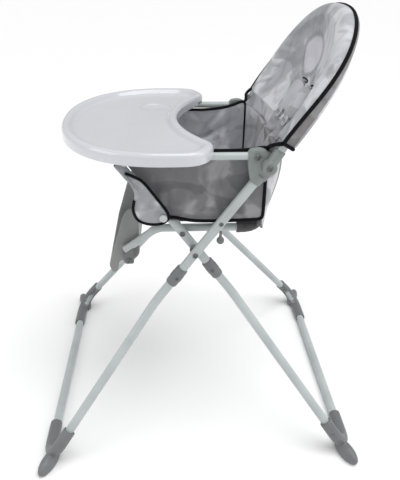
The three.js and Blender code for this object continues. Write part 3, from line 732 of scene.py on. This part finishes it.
def tray_loop(inset, height):
    """The tray's outline drawn in by inset: round in front, hollowed for the body behind."""
    reach = BELLY_RADIUS + inset
    turn = 0.0
    while dist(tray_outer(turn, inset), (0, BELLY_Y)) > reach:
        turn += 0.002
    steps = 64
    half = []
    for i in range(steps + 1):
        share = i / steps
        angle = -pi / 2 + (turn + pi / 2) * share
        half.append(tray_outer(angle, inset))
    sweep = asin(tray_outer(turn, inset)[0] / reach)
    arc = 26
    for i in range(1, arc + 1):
        angle = sweep * (1 - i / arc)
        half.append((reach * sin(angle), BELLY_Y - reach * cos(angle)))
    ring = half + [(-x, y) for x, y in reversed(half[1:-1])]
    count = len(ring)
    tips = (steps, count - steps)
    for _ in range(6):
        eased = list(ring)
        for i in range(count):
            if min(abs(i - tip) for tip in tips) < 9:
                near = zip(ring[i - 1], ring[i], ring[(i + 1) % count])
                eased[i] = tuple((a + 2 * b + c) / 4 for a, b, c in near)
        ring = eased
    return [mm(x, y, height) for x, y in ring]


TRAY_LOOPS = [(2.6, 745), (2.6, 736), (2.0, 734.4), (1.0, 734), (0.2, 734.8), (0, 737), (0, 748)]
TRAY_LOOPS += [(0.6, 753), (2.4, 756.8), (5.2, 759.2), (8.5, 760), (12.5, 759.8), (16, 758.6)]
TRAY_LOOPS += [(19, 756.2), (21.5, 753.2), (24, 750.8), (27, 749.4), (31, 749)]


def tray_moulding():
    loops = [tray_loop(inset, height) for inset, height in TRAY_LOOPS]
    nothing_selected()
    bpy.ops.mesh.primitive_circle_add(vertices=len(loops[0]), radius=1, fill_type="NGON")
    piece = named("tray_moulding")
    for vertex, place in zip(piece.data.vertices, loops[0]):
        vertex.co = place
    edit_all()
    for before, after in zip(loops, loops[1:]):
        where = {tuple(round(c, 7) for c in a): b for a, b in zip(before, after)}

        def follow(co):
            nearest = min(where, key=lambda k: (Vector(k) - co).length_squared)
            return where[nearest]

        extruded(piece, follow)
    bpy.ops.object.mode_set(mode="OBJECT")
    return tidy_mesh(piece)


def cut_away(piece, cutter):
    finish_with(piece, "BOOLEAN", operation="DIFFERENCE", solver="EXACT", object=cutter)
    bpy.data.objects.remove(cutter)


tray_piece = tray_moulding()
cup_profile = [(0, 35.2), (0.4, 36.6), (1.2, 37.6), (2.5, 38.4), (8, 38.4)]
cup = turned("cup_cutter", mm(-103, -94, 746.6), (0, 0, 1), cup_profile, 64)
cut_away(tray_piece, cup)
for x in (188.5, -188.5):
    nothing_selected()
    bpy.ops.mesh.primitive_cube_add(size=1, location=mm(x, 10, 735.5), scale=mm(32, 160, 15))
    cut_away(tray_piece, named("notch_cutter"))
fit(smooth(tray_piece, 32), TRAY, "tray")

# ---- fabric on the front frame ----

SIDE_LOW, SIDE_HIGH, SIDE_REAR, NOTCH_Z = 579.5, 740, 139, 615
CREASES = [
    ((-55, 600), (118, 700), 9, 2.4), ((-30, 592), (60, 735), 8, -2.0),
    ((-60, 610), (40, 650), 7, 1.8), ((-130, 715), (30, 600), 10, -1.6),
    ((60, 590), (135, 690), 8, 1.6), ((-70, 620), (-10, 735), 8, 1.7),
    ((95, 735), (20, 640), 7, -1.5), ((130, 600), (70, 660), 9, -1.3),
]


def creased(y, z, creases):
    """Height of the folds at a place, in mm: ridges that fade along their length."""
    total = 0
    for (y0, z0), (y1, z1), width, height in creases:
        run_y, run_z = y1 - y0, z1 - z0
        length = hypot(run_y, run_z)
        along = ((y - y0) * run_y + (z - z0) * run_z) / length
        aside = ((y - y0) * run_z - (z - z0) * run_y) / length
        share = clamped(along / length)
        beyond = max(0, along - length, -along)
        fade = sin(pi * (0.15 + 0.7 * share)) * exp(-((beyond / 12) ** 2))
        total += height * fade * exp(-((aside / width) ** 2))
    return total


def side_cloth(v, u):
    """From the lower edge up, and from the arm tube's front run to the rear edge."""
    z = SIDE_LOW + v * (SIDE_HIGH - SIDE_LOW)
    front = max(-82 - max(z - NOTCH_Z, 0) * 0.71, -154)
    y = front + (SIDE_REAR - front) * u
    edge = min(1, 6 * min(u, 1 - u), 6 * min(v, 1 - v))
    x = 178.4 + creased(y, z, CREASES) * edge
    x += 0.9 * noise.noise(Vector((y * 0.03, z * 0.03, 1.7))) * edge
    return mm(min(max(x, 175.9), 182.6), y, z)


def lit_inner_faces(piece, look):
    """Gives the faces towards the child the lighter printed cloth; the darker cloth left on the
    outer faces is painted shade.
    """
    piece.data.materials.append(look.material)
    for face in piece.data.polygons:
        if face.normal.x * face.center.x < 0:
            face.material_index = 1


def paired_sheets(rows):
    """Works out the flat area of the sheet through rows of points; nothing keeps it."""
    area = flat_area(rows)


side_rows = rows_of(36, 60, side_cloth)
# The side panels' outer faces keep the darker cloth, painted shade; their inner faces get the
# lighter cloth.
sides = fit_pair(cloth("side_panel_left_cloth", side_rows, 1.0 * MM), SHADED_CLOTH, "side_panel")
for piece in sides:
    lit_inner_faces(piece, CLOTH)
paired_sheets(side_rows)

edge_line = [(-146, 736.5), (-100, 737), (0, 737), (80, 737.6), (108, 740), (128, 743)]
edge_line += [(136, 741), (139, 732), (139.5, 700), (139.5, 640), (139, 592), (134, 582)]
edge_line += [(120, 579.5), (60, 577.5), (0, 578), (-30, 582), (-52, 587), (-76, 588)]
edging = curve_through([mm(179.6, y, z) for y, z in edge_line], 150)
pipings = fit_pair(cord_along("side_panel_left_piping", edging, 3.7 * MM), BINDING, **FRONT_CLOTH)


def slackened(piece):
    """Lets the upper edge of the right side's cloth sag between its two corners."""
    for vertex in piece.data.vertices:
        place = vertex.co / MM
        rise = clamped((place.z - 640) / 95)
        ahead_of_corner = clamped((128 - place.y) / 110)
        vertex.co.z -= 15 * MM * rise * ahead_of_corner * (2 - ahead_of_corner)


slackened(sides[1])
slackened(pipings[1])

FLAP = [(-151, 700), (-133, 692), (-115, 680), (-90, 646), (-67, 611), (-66, 596), (-82, 585)]
FLAP += [(-108, 585), (-129, 595), (-138, 617), (-134, 655), (-146, 682)]
FLAP_CREASES = [((-142, 690), (-90, 600), 9, 0.8), ((-120, 650), (-100, 590), 7, -0.6)]
FLAP_CENTRE = mm(204.9, -103, 626)
flap_ring = curve_through([mm(204.9, y, z) for y, z in FLAP], 96, closed=True)


def flap_cloth(v, u):
    """Rings that shrink from the flap's edge to its centre."""
    at = FLAP_CENTRE + (flap_ring[round(u * 96) % 96] - FLAP_CENTRE) * (1 - v)
    y, z = at.y / MM, at.z / MM
    fold = 0.5 * noise.noise(Vector((y * 0.05, z * 0.05, 4.0)))
    return at + mm((fold + creased(y, z, FLAP_CREASES)) * min(1, 3 * v), 0, 0)


flap_rows = rows_of(12, 96, flap_cloth)
flaps = fit_pair(cloth("arm_flap_left_cloth", flap_rows, 0.9 * MM), CLOTH, "arm_flap")
paired_sheets(flap_rows)
flap_edge = curve_through([mm(205, y, z) for y, z in FLAP[:10] + [(-135, 640)]], 90)
fit_pair(cord_along("arm_flap_left_piping", flap_edge, 3.2 * MM), BINDING, **FRONT_CLOTH)


def wrapped(name, points, radius, across, wrinkle=0.8):
    """Cloth gathered round a tube that runs through points, all square to across."""
    rows = []
    for k, at in enumerate(points):
        after = points[min(k + 1, len(points) - 1)]
        before = points[max(k - 1, 0)]
        way = (after - before).normalized()
        side = way.cross(across).normalized()
        other = way.cross(side)
        row = []
        for i in range(33):
            turn = 2 * pi * i / 32
            out = side * cos(turn) + other * sin(turn)
            r = radius + wrinkle * MM * noise.noise(at * 90 + out * 1.5)
            row.append(at + out * r)
        rows.append(row)
    piece = cloth(name, rows, 0)
    finish_with(piece, "SOLIDIFY", thickness=0.7 * MM, offset=0)
    return smooth(tidy_mesh(piece), 60), rows


sleeve_top, sleeve_foot = path((FRONT_X, -166, 718), (FRONT_X, -101, 632.3))
sleeve_line = [sleeve_top.lerp(sleeve_foot, k / 30) for k in range(31)]
sleeve, sleeve_rows = wrapped("arm_sleeve_left", sleeve_line, 9.6 * MM, Vector((1, 0, 0)))
sleeves = fit_pair(sleeve, CLOTH, **FRONT_CLOTH)
paired_sheets(sleeve_rows)

loop_line = path(
    (179, 134, 741), (185, 140, 746), (194, 142, 752),
    (204, 143, 756), (213, 149, 761), (224, 159, 766),
)
loop = cord_along("hub_loop_left", curve_through(loop_line, 30), 4.0 * MM)
for piece in (loop, twin(loop)):
    piece.data.materials.append(BINDING.material)
    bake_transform(piece)

# ---- seat cushion, rear panel, harness ----


def rounded_block(name, low, high, ease):
    nothing_selected()
    low, high = mm(*low), mm(*high)
    bpy.ops.mesh.primitive_cube_add(size=1, location=(low + high) / 2, scale=high - low)
    piece = named(name)
    return finish_with(piece, "BEVEL", width=ease * MM, segments=4)


GROOVE_X, GROOVE_WIDTH, GROOVE_DEPTH = 0.072, 0.004, 0.0022
CUSHION_LOW, CUSHION_HIGH = 0.5527, 0.5765
cushion = swollen(rounded_block("seat_cushion", (-146, -115, 555), (146, 133, 572), 6), 5, 5)
for vertex in cushion.data.vertices:
    vertex.co.z = max(vertex.co.z, CUSHION_LOW)
    aside = (abs(vertex.co.x) - GROOVE_X) / GROOVE_WIDTH
    if vertex.co.z > 0.568:
        vertex.co.z = min(vertex.co.z - GROOVE_DEPTH * exp(-(aside ** 2)), CUSHION_HIGH)
fit(cushion, CLOTH, "seat_base")
edge_right = path((147, 132, 565), (147, 0, 565), (146, -100, 565), (138, -116, 565))
seat_edge = mirrored(edge_right[::-1]) + [mm(0, -118, 565)] + edge_right[::-1]
seat_piping = cord_along("seat_cushion_piping", curve_through(seat_edge, 120), 2.4 * MM)
fit(seat_piping, BINDING, **SEAT_CLOTH)

REAR_STEPS = 120
REAR_LINE = [(143, 546), (150, 572), (158, 600), (166, 628), (173, 655), (178, 686), (179, 718)]
rear_curve = curve_through([mm(0, y, z) for y, z in REAR_LINE], REAR_STEPS)
PANEL_CREASES = [
    ((-150, 560), (60, 700), 16, 1.6), ((150, 560), (-40, 690), 15, 1.4),
    ((-120, 720), (30, 600), 14, -1.3), ((120, 715), (10, 590), 12, -1.2),
]


def rear_panel(v, u):
    """The middle of the panel's thickness, bulging a little towards the child."""
    across = 2 * u - 1
    at = rear_curve[round(v * REAR_STEPS)]
    y, z = at.y / MM, at.z / MM
    bulge = 3.0 * (1 - across * across) * sin(pi * v)
    fold = creased(across * 150, z, PANEL_CREASES)
    return mm(across * 149.5, y - 6 - bulge * 0.3 + fold * 0.6, z)


panel = cloth("seat_back_panel_cloth", rows_of(30, 48, rear_panel), 0)
finish_with(panel, "SOLIDIFY", thickness=10 * MM, offset=0)
finish_with(panel, "BEVEL", width=3 * MM, segments=3, limit_method="ANGLE", angle_limit=1.0)
# The rear panel gets the darker cloth, painted shade.
fit(smooth(tidy_mesh(panel), 50), SHADED_CLOTH, "seat_back_panel")


def rail_roll_line():
    """The rail's rear bar and the corners at its ends, bent to 36 mm."""
    line = [mm(107 * (1 - k / 12), RAIL_REAR_Y, RAIL_Z) for k in range(12)]
    turns = [k * 0.12 for k in reversed(range(14))]
    corner = [mm(107 + 36 * sin(a), 102 + 36 * cos(a), RAIL_Z) for a in turns]
    half = [mm(143, 88, RAIL_Z)] + corner + line
    return half + [mm(0, RAIL_REAR_Y, RAIL_Z)] + mirrored(half)


def wing(v, u):
    """Cloth from a side panel's rear edge in to the rear panel's edge."""
    at = rear_curve[round(v * REAR_STEPS)]
    z = at.z + (0.028 * v + 0.024 * (1 - v)) * (1 - u)
    start = Vector((0.1775, 0.1385, min(z, 0.736)))
    end = Vector((0.1475, at.y - 0.004, at.z))
    sag = 0.006 * sin(pi * u)
    return start.lerp(end, u) + Vector((sag, sag * 0.6, 0))


wing_rows = rows_of(24, 12, wing)
wings = fit_pair(cloth("sling_wing_left_cloth", wing_rows, 1.0 * MM), CLOTH, **FRONT_CLOTH)
paired_sheets(wing_rows)

roll, roll_rows = wrapped("seat_rail_roll", rail_roll_line(), 12.2 * MM, Vector((0, 0, 1)), 1.3)
fit(roll, DARK, **SEAT_CLOTH)
flat_area(roll_rows)

# ---- backrest ----

HALF_WIDTH, WIDEST, TOP, HEM = 228, 130, 331, 57
FRONT_DEPTH, REAR_DEPTH, SAG = 12, 14, 56
ARCH_POWER = 2.3


def arch_half(along, half=HALF_WIDTH, top=TOP):
    if along <= WIDEST:
        drop = (WIDEST - along) / (WIDEST - HEM)
        return half - 2 * drop * drop
    rise = min((along - WIDEST) / (top - WIDEST), 1)
    return half * (1 - rise ** ARCH_POWER) ** (1 / ARCH_POWER)


def arch_rows(steps):
    low = [HEM + (WIDEST - HEM) * i / 12 for i in range(12)]
    high = []
    for i in range(steps + 1):
        turn = pi / 2 * i / steps
        high.append(WIDEST + (TOP - WIDEST) * sin(turn) ** (2 / ARCH_POWER))
    return low + high


BACK_CREASES = [
    ((-35, 160), (-120, 255), 13, 4.5), ((-35, 158), (-60, 270), 10, -3.5),
    ((38, 160), (120, 215), 14, 3.0), ((-150, 80), (-20, 200), 12, 3.5),
    ((-180, 140), (-60, 120), 11, -3.0), ((150, 90), (60, 130), 12, 3.0),
    ((-90, 60), (-60, 170), 10, -2.8), ((90, 62), (66, 180), 10, -2.8),
    ((0, 60), (0, 150), 18, 2.5), ((-200, 170), (-110, 240), 12, 3.0),
    ((190, 170), (110, 240), 12, 2.5), ((-60, 290), (60, 270), 14, 2.0),
]


def edge_share(x, along):
    """0 in the middle of the cover, 1 on its edge."""
    if along <= WIDEST:
        return min(abs(x) / arch_half(along), 1)
    across, up = abs(x) / HALF_WIDTH, (along - WIDEST) / (TOP - WIDEST)
    return min((across ** ARCH_POWER + up ** ARCH_POWER) ** (1 / ARCH_POWER), 1)


def seam_level(along):
    """The rim seam's place in front of the tube's axis: it drifts backwards towards the top."""
    share = clamped((along - HEM) / 230)
    return 9 - 16 * share * share * (3 - 2 * share)


def sling_depth(x, along):
    """How far the front cloth lies behind the cover's foremost level."""
    bowl = max(0, 1 - (x / 190) ** 2 - ((along - WIDEST) / 168) ** 2) ** 0.85
    share = edge_share(x, along)
    fold = creased(x, along, BACK_CREASES) * min(1, 5 * (1 - share))
    near = clamped((share - 0.92) / 0.08)
    roll = (FRONT_DEPTH - seam_level(along)) * (1 - sqrt(1 - near * near))
    return SAG * bowl - fold + roll


def back_cover():
    across = 60
    rows = []
    for along in arch_rows(34):
        xs = [(i / across * 2 - 1) * arch_half(along) for i in range(across + 1)]
        rows.append([mm(x, along, FRONT_DEPTH - sling_depth(x, along)) for x in xs])
    piece = grid_of("backrest_cover_cloth", rows)
    edit_all()

    def behind(co):
        x, along = co.x / MM, co.y / MM
        u = min(abs(x) / max(arch_half(along), 1), 1)
        v = (along - 120) / 215
        bulge = max(0, 1 - v * v) ** 0.7 * (1 - u ** 3)
        return mm(x, along, min(-REAR_DEPTH - 46 * bulge, co.z / MM - 5 * bulge - 0.5))

    extruded(piece, behind)
    bpy.ops.object.mode_set(mode="OBJECT")
    for vertex in piece.data.vertices:
        vertex.co = on_back(*(vertex.co / MM))
    tidy_mesh(piece, 0.05 * MM)
    finish_with(piece, "BEVEL", width=2.0 * MM, segments=2, limit_method="ANGLE", angle_limit=0.9)
    return smooth(tidy_mesh(piece), 50)


with_petal(CLOTH, on_back(-46, 205, 10), 0.058)
cover = back_cover()
fit(cover, CLOTH, "backrest_cover")


def arch_line(share, out=0.0, steps=44):
    """The cover's outline, share of the way from its rim seam to its rear edge."""
    def level(along):
        return seam_level(along) * (1 - share) - REAR_DEPTH * share

    side = [(arch_half(a) + out, a) for a in arch_rows(steps)]
    top = side.pop()
    right = [on_back(x, a, level(a)) for x, a in side]
    left = [on_back(-x, a, level(a)) for x, a in reversed(side)]
    return right + [on_back(0, top[1] + out, level(top[1]))] + left


def even(points, count):
    """The same line with evenly spaced points."""
    lengths = [0]
    for a, b in zip(points, points[1:]):
        lengths.append(lengths[-1] + (b - a).length)
    made, k = [], 0
    for i in range(count + 1):
        at = lengths[-1] * i / count
        while k < len(points) - 2 and lengths[k + 1] < at:
            k += 1
        share = (at - lengths[k]) / max(lengths[k + 1] - lengths[k], 1e-9)
        made.append(points[k].lerp(points[k + 1], share))
    return made


band = [even(arch_line(share, 0.9), 150) for share in (0.04, 0.35, 0.68, 0.96)]
gusset = cloth("backrest_gusset", band, 0.9 * MM)
fit(gusset, EDGE_CLOTH, **BACK_CLOTH)
flat_area(band)
rim = even(arch_line(0, 0.4), 170)
fit(cord_along("backrest_rim_piping", rim, 4.0 * MM), BINDING, **BACK_CLOTH)
rear_rim = even(arch_line(1, -0.4), 150)
fit(cord_along("backrest_rear_seam", rear_rim, 1.3 * MM), TAPE, body="backrest", slot="webbing")

hem = [on_back(arch_half(HEM) + 1.5, HEM, level) for level in (9, 2, -6, -REAR_DEPTH)]
for i in range(2):
    level = -REAR_DEPTH - 14 * sin(i * 0.5)
    hem.append(on_back(arch_half(HEM) - 12 - 30 * i, HEM, level))
hem_binding = cord_along("backrest_hem_left_binding", curve_through(hem, 40), 3.8 * MM)
fit_pair(hem_binding, BINDING, **BACK_CLOTH)


def back_tube_line():
    half = [on_back(213.5, 14, 0)]
    inset = REAR_DEPTH + 1
    for i in range(25):
        turn = pi / 2 * i / 24
        along = WIDEST + (TOP - inset - WIDEST) * sin(turn) ** (2 / ARCH_POWER)
        half.append(on_back(arch_half(along, HALF_WIDTH - inset, TOP - inset), along, 0))
    return half + mirrored(half[:-1])


back_tube = cord_along("backrest_tube_bar", even(back_tube_line(), 120), BACK_RADIUS, sides=7)
fit(back_tube, PAINT, "backrest_tube")


inwards = [(178, 139.5, 742), (176, 146, 722), (166, 160, 704), (150, 173, 699), (75, 176, 699)]
outwards = path(*reversed(inwards))
low_edge = even(curve_through(mirrored(outwards) + [mm(0, 176, 699)] + outwards, 90), 56)


def join_cloth(v, u):
    """Cloth from the cover's hem down to the rear panel and round to both side panels."""
    across = 2 * u - 1
    x = across * arch_half(HEM) * 0.985
    tuck = 3 + sling_depth(x, HEM + 3) + 2.5 * (1 - abs(across) ** 4)
    at = low_edge[round(u * 56)].lerp(on_back(x, HEM + 3, FRONT_DEPTH - tuck), v)
    pull = sin(pi * v)
    sway = 6 * pull * (0.4 + 0.6 * abs(across) ** 2)
    fold = 1.2 * noise.noise(Vector((x * 0.03, v * 3, 2.2))) * pull
    return at + mm(0, sway + fold, -2 * pull)


join_rows = rows_of(18, 56, join_cloth)
join = cloth("sling_join_cloth", join_rows, 1.0 * MM)
join.data.materials.append(CLOTH.material)
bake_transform(join)
flat_area(join_rows)

# ---- harness ----

SHOULDER_X, SLOT_ALONG, ADJUSTER_ALONG = 35, 159, 68
TAPE_WIDTH, TAPE_THICKNESS = 25 * MM, 1.4 * MM


def ribbon(name, line, side=Vector((1, 0, 0))):
    """Webbing along a line, its width along side."""
    rows = [[p + side * TAPE_WIDTH * (i / 8 - 0.5) for i in range(9)] for p in line]
    return cloth(name, rows, TAPE_THICKNESS)


def over_sling(x, along, lift):
    return on_back(x, along, FRONT_DEPTH - sling_depth(x, along) + lift)


back_up = (on_back(0, 1, 0) - on_back(0, 0, 0)).normalized()
back_out = (on_back(0, 0, 1) - on_back(0, 0, 0)).normalized()


def tipped(degrees):
    """The webbing's width direction, its outer edge lifted off the back."""
    angle = radians(degrees)
    return Vector((1, 0, 0)) * cos(angle) - back_out * sin(angle)


def loose_strap(x, v, u):
    """Webbing from its slot down to the adjuster, standing off the sling and rolled outwards."""
    lift = 3 + 6 * sin(pi * min(v * 1.15, 1))
    across = tipped(12 + 44 * sin(pi * min(v * 1.1 + 0.05, 1)) ** 0.8)
    return over_sling(x, SLOT_ALONG - 97 * v, lift) + across * TAPE_WIDTH * (u - 0.5)


def shoulder_pad(x, v, u):
    """A long pad round the webbing, crowned, with rounded ends."""
    side = 2 * u - 1
    half = 14.5 * (1 - abs(2 * v - 1) ** 10) ** 0.4 + 0.6
    crown = 3.6 * (1 - abs(side) ** 3) * (1 - abs(2 * v - 1) ** 5)
    lift = 8 + 3 * sin(pi * v) + crown
    return over_sling(x, SLOT_ALONG - 5 - v * 78, lift) + tipped(30) * side * half * MM


for side, x in (("left", SHOULDER_X), ("right", -SHOULDER_X)):
    strap_rows = rows_of(40, 8, lambda v, u: loose_strap(x, v, u))
    strap = cloth(f"shoulder_strap_{side}_webbing", strap_rows, TAPE_THICKNESS)
    fit(strap, TAPE, f"shoulder_strap_{side}")
    pad_rows = rows_of(32, 32, lambda v, u: shoulder_pad(x, v, u))
    pad = cloth(f"shoulder_pad_{side}_cloth", pad_rows, 2.4 * MM)
    fit(pad, PAD_CLOTH, f"shoulder_pad_{side}")


def slot_frame(x):
    """A stitched slot that a strap comes through."""
    ring = []
    for i in range(40):
        turn = 2 * pi * i / 40
        ring.append(over_sling(x + 16 * cos(turn), SLOT_ALONG + 1 + 3.2 * sin(turn), 0.8))
    return cord_along("harness_slot_left_binding", ring, 1.5 * MM, closed=True)


fit_pair(slot_frame(SHOULDER_X), BINDING, body="backrest", slot="webbing")


def adjuster(name, centre, up, out, width=31 * MM, height=20 * MM):
    """A ladder adjuster: a rounded frame with two middle bars."""
    side = up.cross(out).normalized()
    ring = []
    for i in range(48):
        turn = 2 * pi * (i + 0.5) / 48
        across = side * (width / 2 * bowed(cos(turn), 0.45))
        ring.append(centre + across + up * (height / 2 * bowed(sin(turn), 0.45)))
    frame_piece = cord_along(name, ring, 1.9 * MM, closed=True)
    bars = []
    for level in (-0.28, 0.28):
        middle = centre + up * (level * height) + out * 0.8 * MM
        ends = [middle - side * (width / 2), middle + side * (width / 2)]
        bars.append(cord_along(name + "_bar", ends, 1.6 * MM))
    only(frame_piece)
    for bar in bars:
        bar.select_set(True)
    bpy.ops.object.join()
    return frame_piece


ladder_place = over_sling(SHOULDER_X, ADJUSTER_ALONG, 7)
ladder = adjuster("shoulder_adjuster_left", ladder_place, back_up, back_out)
fit_pair(ladder, PALE, body="backrest", slot="webbing")

LOWER = [(34, 186, 728), (32, 167, 700), (31, 152, 650), (30, 138, 612), (29, 115, 589)]
LOWER += [(26, 80, 584), (21, 44, 585)]
for side, turn in (("left", 1), ("right", -1)):
    down = [over_sling(turn * SHOULDER_X, 64, 5)] + path(*((turn * x, y, z) for x, y, z in LOWER))
    lower_line = curve_through(down, 60)
    lower = ribbon(f"lower_harness_{side}_webbing", lower_line, tipped(38))
    fit(lower, TAPE, body="seat", slot="webbing")

lap_line = path(
    (22, 30, 584), (50, 31, 580.5), (90, 32, 579), (125, 33, 579), (147, 34, 577), (150, 34, 566)
)
lap = ribbon("lap_strap_left_webbing", curve_through(lap_line, 40), Vector((0, 1, 0)))
fit_pair(lap, TAPE, "lap_strap")
crotch_line = path((0, -3, 584), (0, -24, 581), (0, -50, 579), (0, -76, 578.4), (0, -80, 572))
crotch = ribbon("crotch_strap_webbing", curve_through(crotch_line, 30))
fit(crotch, TAPE, "crotch_strap")
fit(moulded("buckle", 0.8, 4), GREY, "buckle")
button = [(0.7, 7.6), (1, 8.1), (2.6, 8.2), (3.2, 7.8), (3.5, 6.8), (3.1, 5), (2.9, 2)]
z_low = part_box("buckle_button")[0].z
button_piece = turned("buckle_button_cap", (0, 0.018, z_low), (0, 0, 1), button)
fit(button_piece, HUB, "buckle_button")

snap = [(0, 4.6), (0.8, 5), (1.8, 4.6), (2.4, 3.4), (2.0, 2.4), (2.0, 0.8)]
snap_piece = turned("side_snap_left", mm(177.6, 124, 730), (-1, 0, 0), snap, 20)
fit_pair(snap_piece, PALE, body="front_frame", slot="grey_plastic")

# ---- floor, light, camera ----

nothing_selected()
bpy.ops.mesh.primitive_plane_add(size=60, location=(-10, 0, -0.0005))
floor = named("floor")
floor_look = Look("floor_paint", roughness=0.95, specular_ior_level=0.1)
floor_tone = floor_look.mix(floor_look.noise(3, 2), (0.93, 0.93, 0.93), (0.95, 0.95, 0.95))
floor_look.give(base_color=floor_tone)
floor.data.materials.append(floor_look.material)

world = bpy.data.worlds.new("studio")
world.use_nodes = True
background = world.node_tree.nodes["Background"].inputs
background["Color"].default_value = (1, 1, 1, 1)
background["Strength"].default_value = 0.48
bpy.context.scene.world = world


def lamp(name, place, target, size, power):
    light = bpy.data.lights.new(name, "AREA")
    light.size = size
    light.energy = power
    holder = linked(name, light)
    holder.location = place
    holder.rotation_euler = (Vector(target) - Vector(place)).to_track_quat("-Z", "Y").to_euler()


lamp("front_softbox", (0.9, -2.3, 1.8), (0, 0, 0.6), 1.6, 16)
lamp("rear_softbox", (0.8, 2.4, 1.9), (0, 0, 0.6), 1.6, 12)
sun_data = bpy.data.lights.new("high_window", "SUN")
sun_data.energy = 1.9
sun_data.angle = radians(50)
sun = linked("high_window", sun_data)
sun.rotation_euler = (radians(-14), radians(10), 0)

camera_data = bpy.data.cameras.new("camera")
camera = linked("camera", camera_data)
CAMERA_PLACE = Vector((1.2261, -0.0583, 1.1105))
PITCH, YAW, ROLL = 0.5054, 0.0588, 0.0123
level = cos(PITCH)
ahead = Vector((-level * cos(YAW), level * sin(YAW), -sin(PITCH)))
right = ahead.cross(Vector((0, 0, 1))).normalized()
up = right.cross(ahead)
right, up = (
    right * cos(ROLL) + up * sin(ROLL),
    up * cos(ROLL) - right * sin(ROLL),
)
turn = Matrix((right, up, -ahead)).transposed()
camera.matrix_world = Matrix.Translation(CAMERA_PLACE) @ turn.to_4x4()
camera_data.sensor_width = 36
camera_data.lens = 40.61
bpy.context.scene.camera = camera
bpy.context.scene.view_settings.view_transform = "Standard"
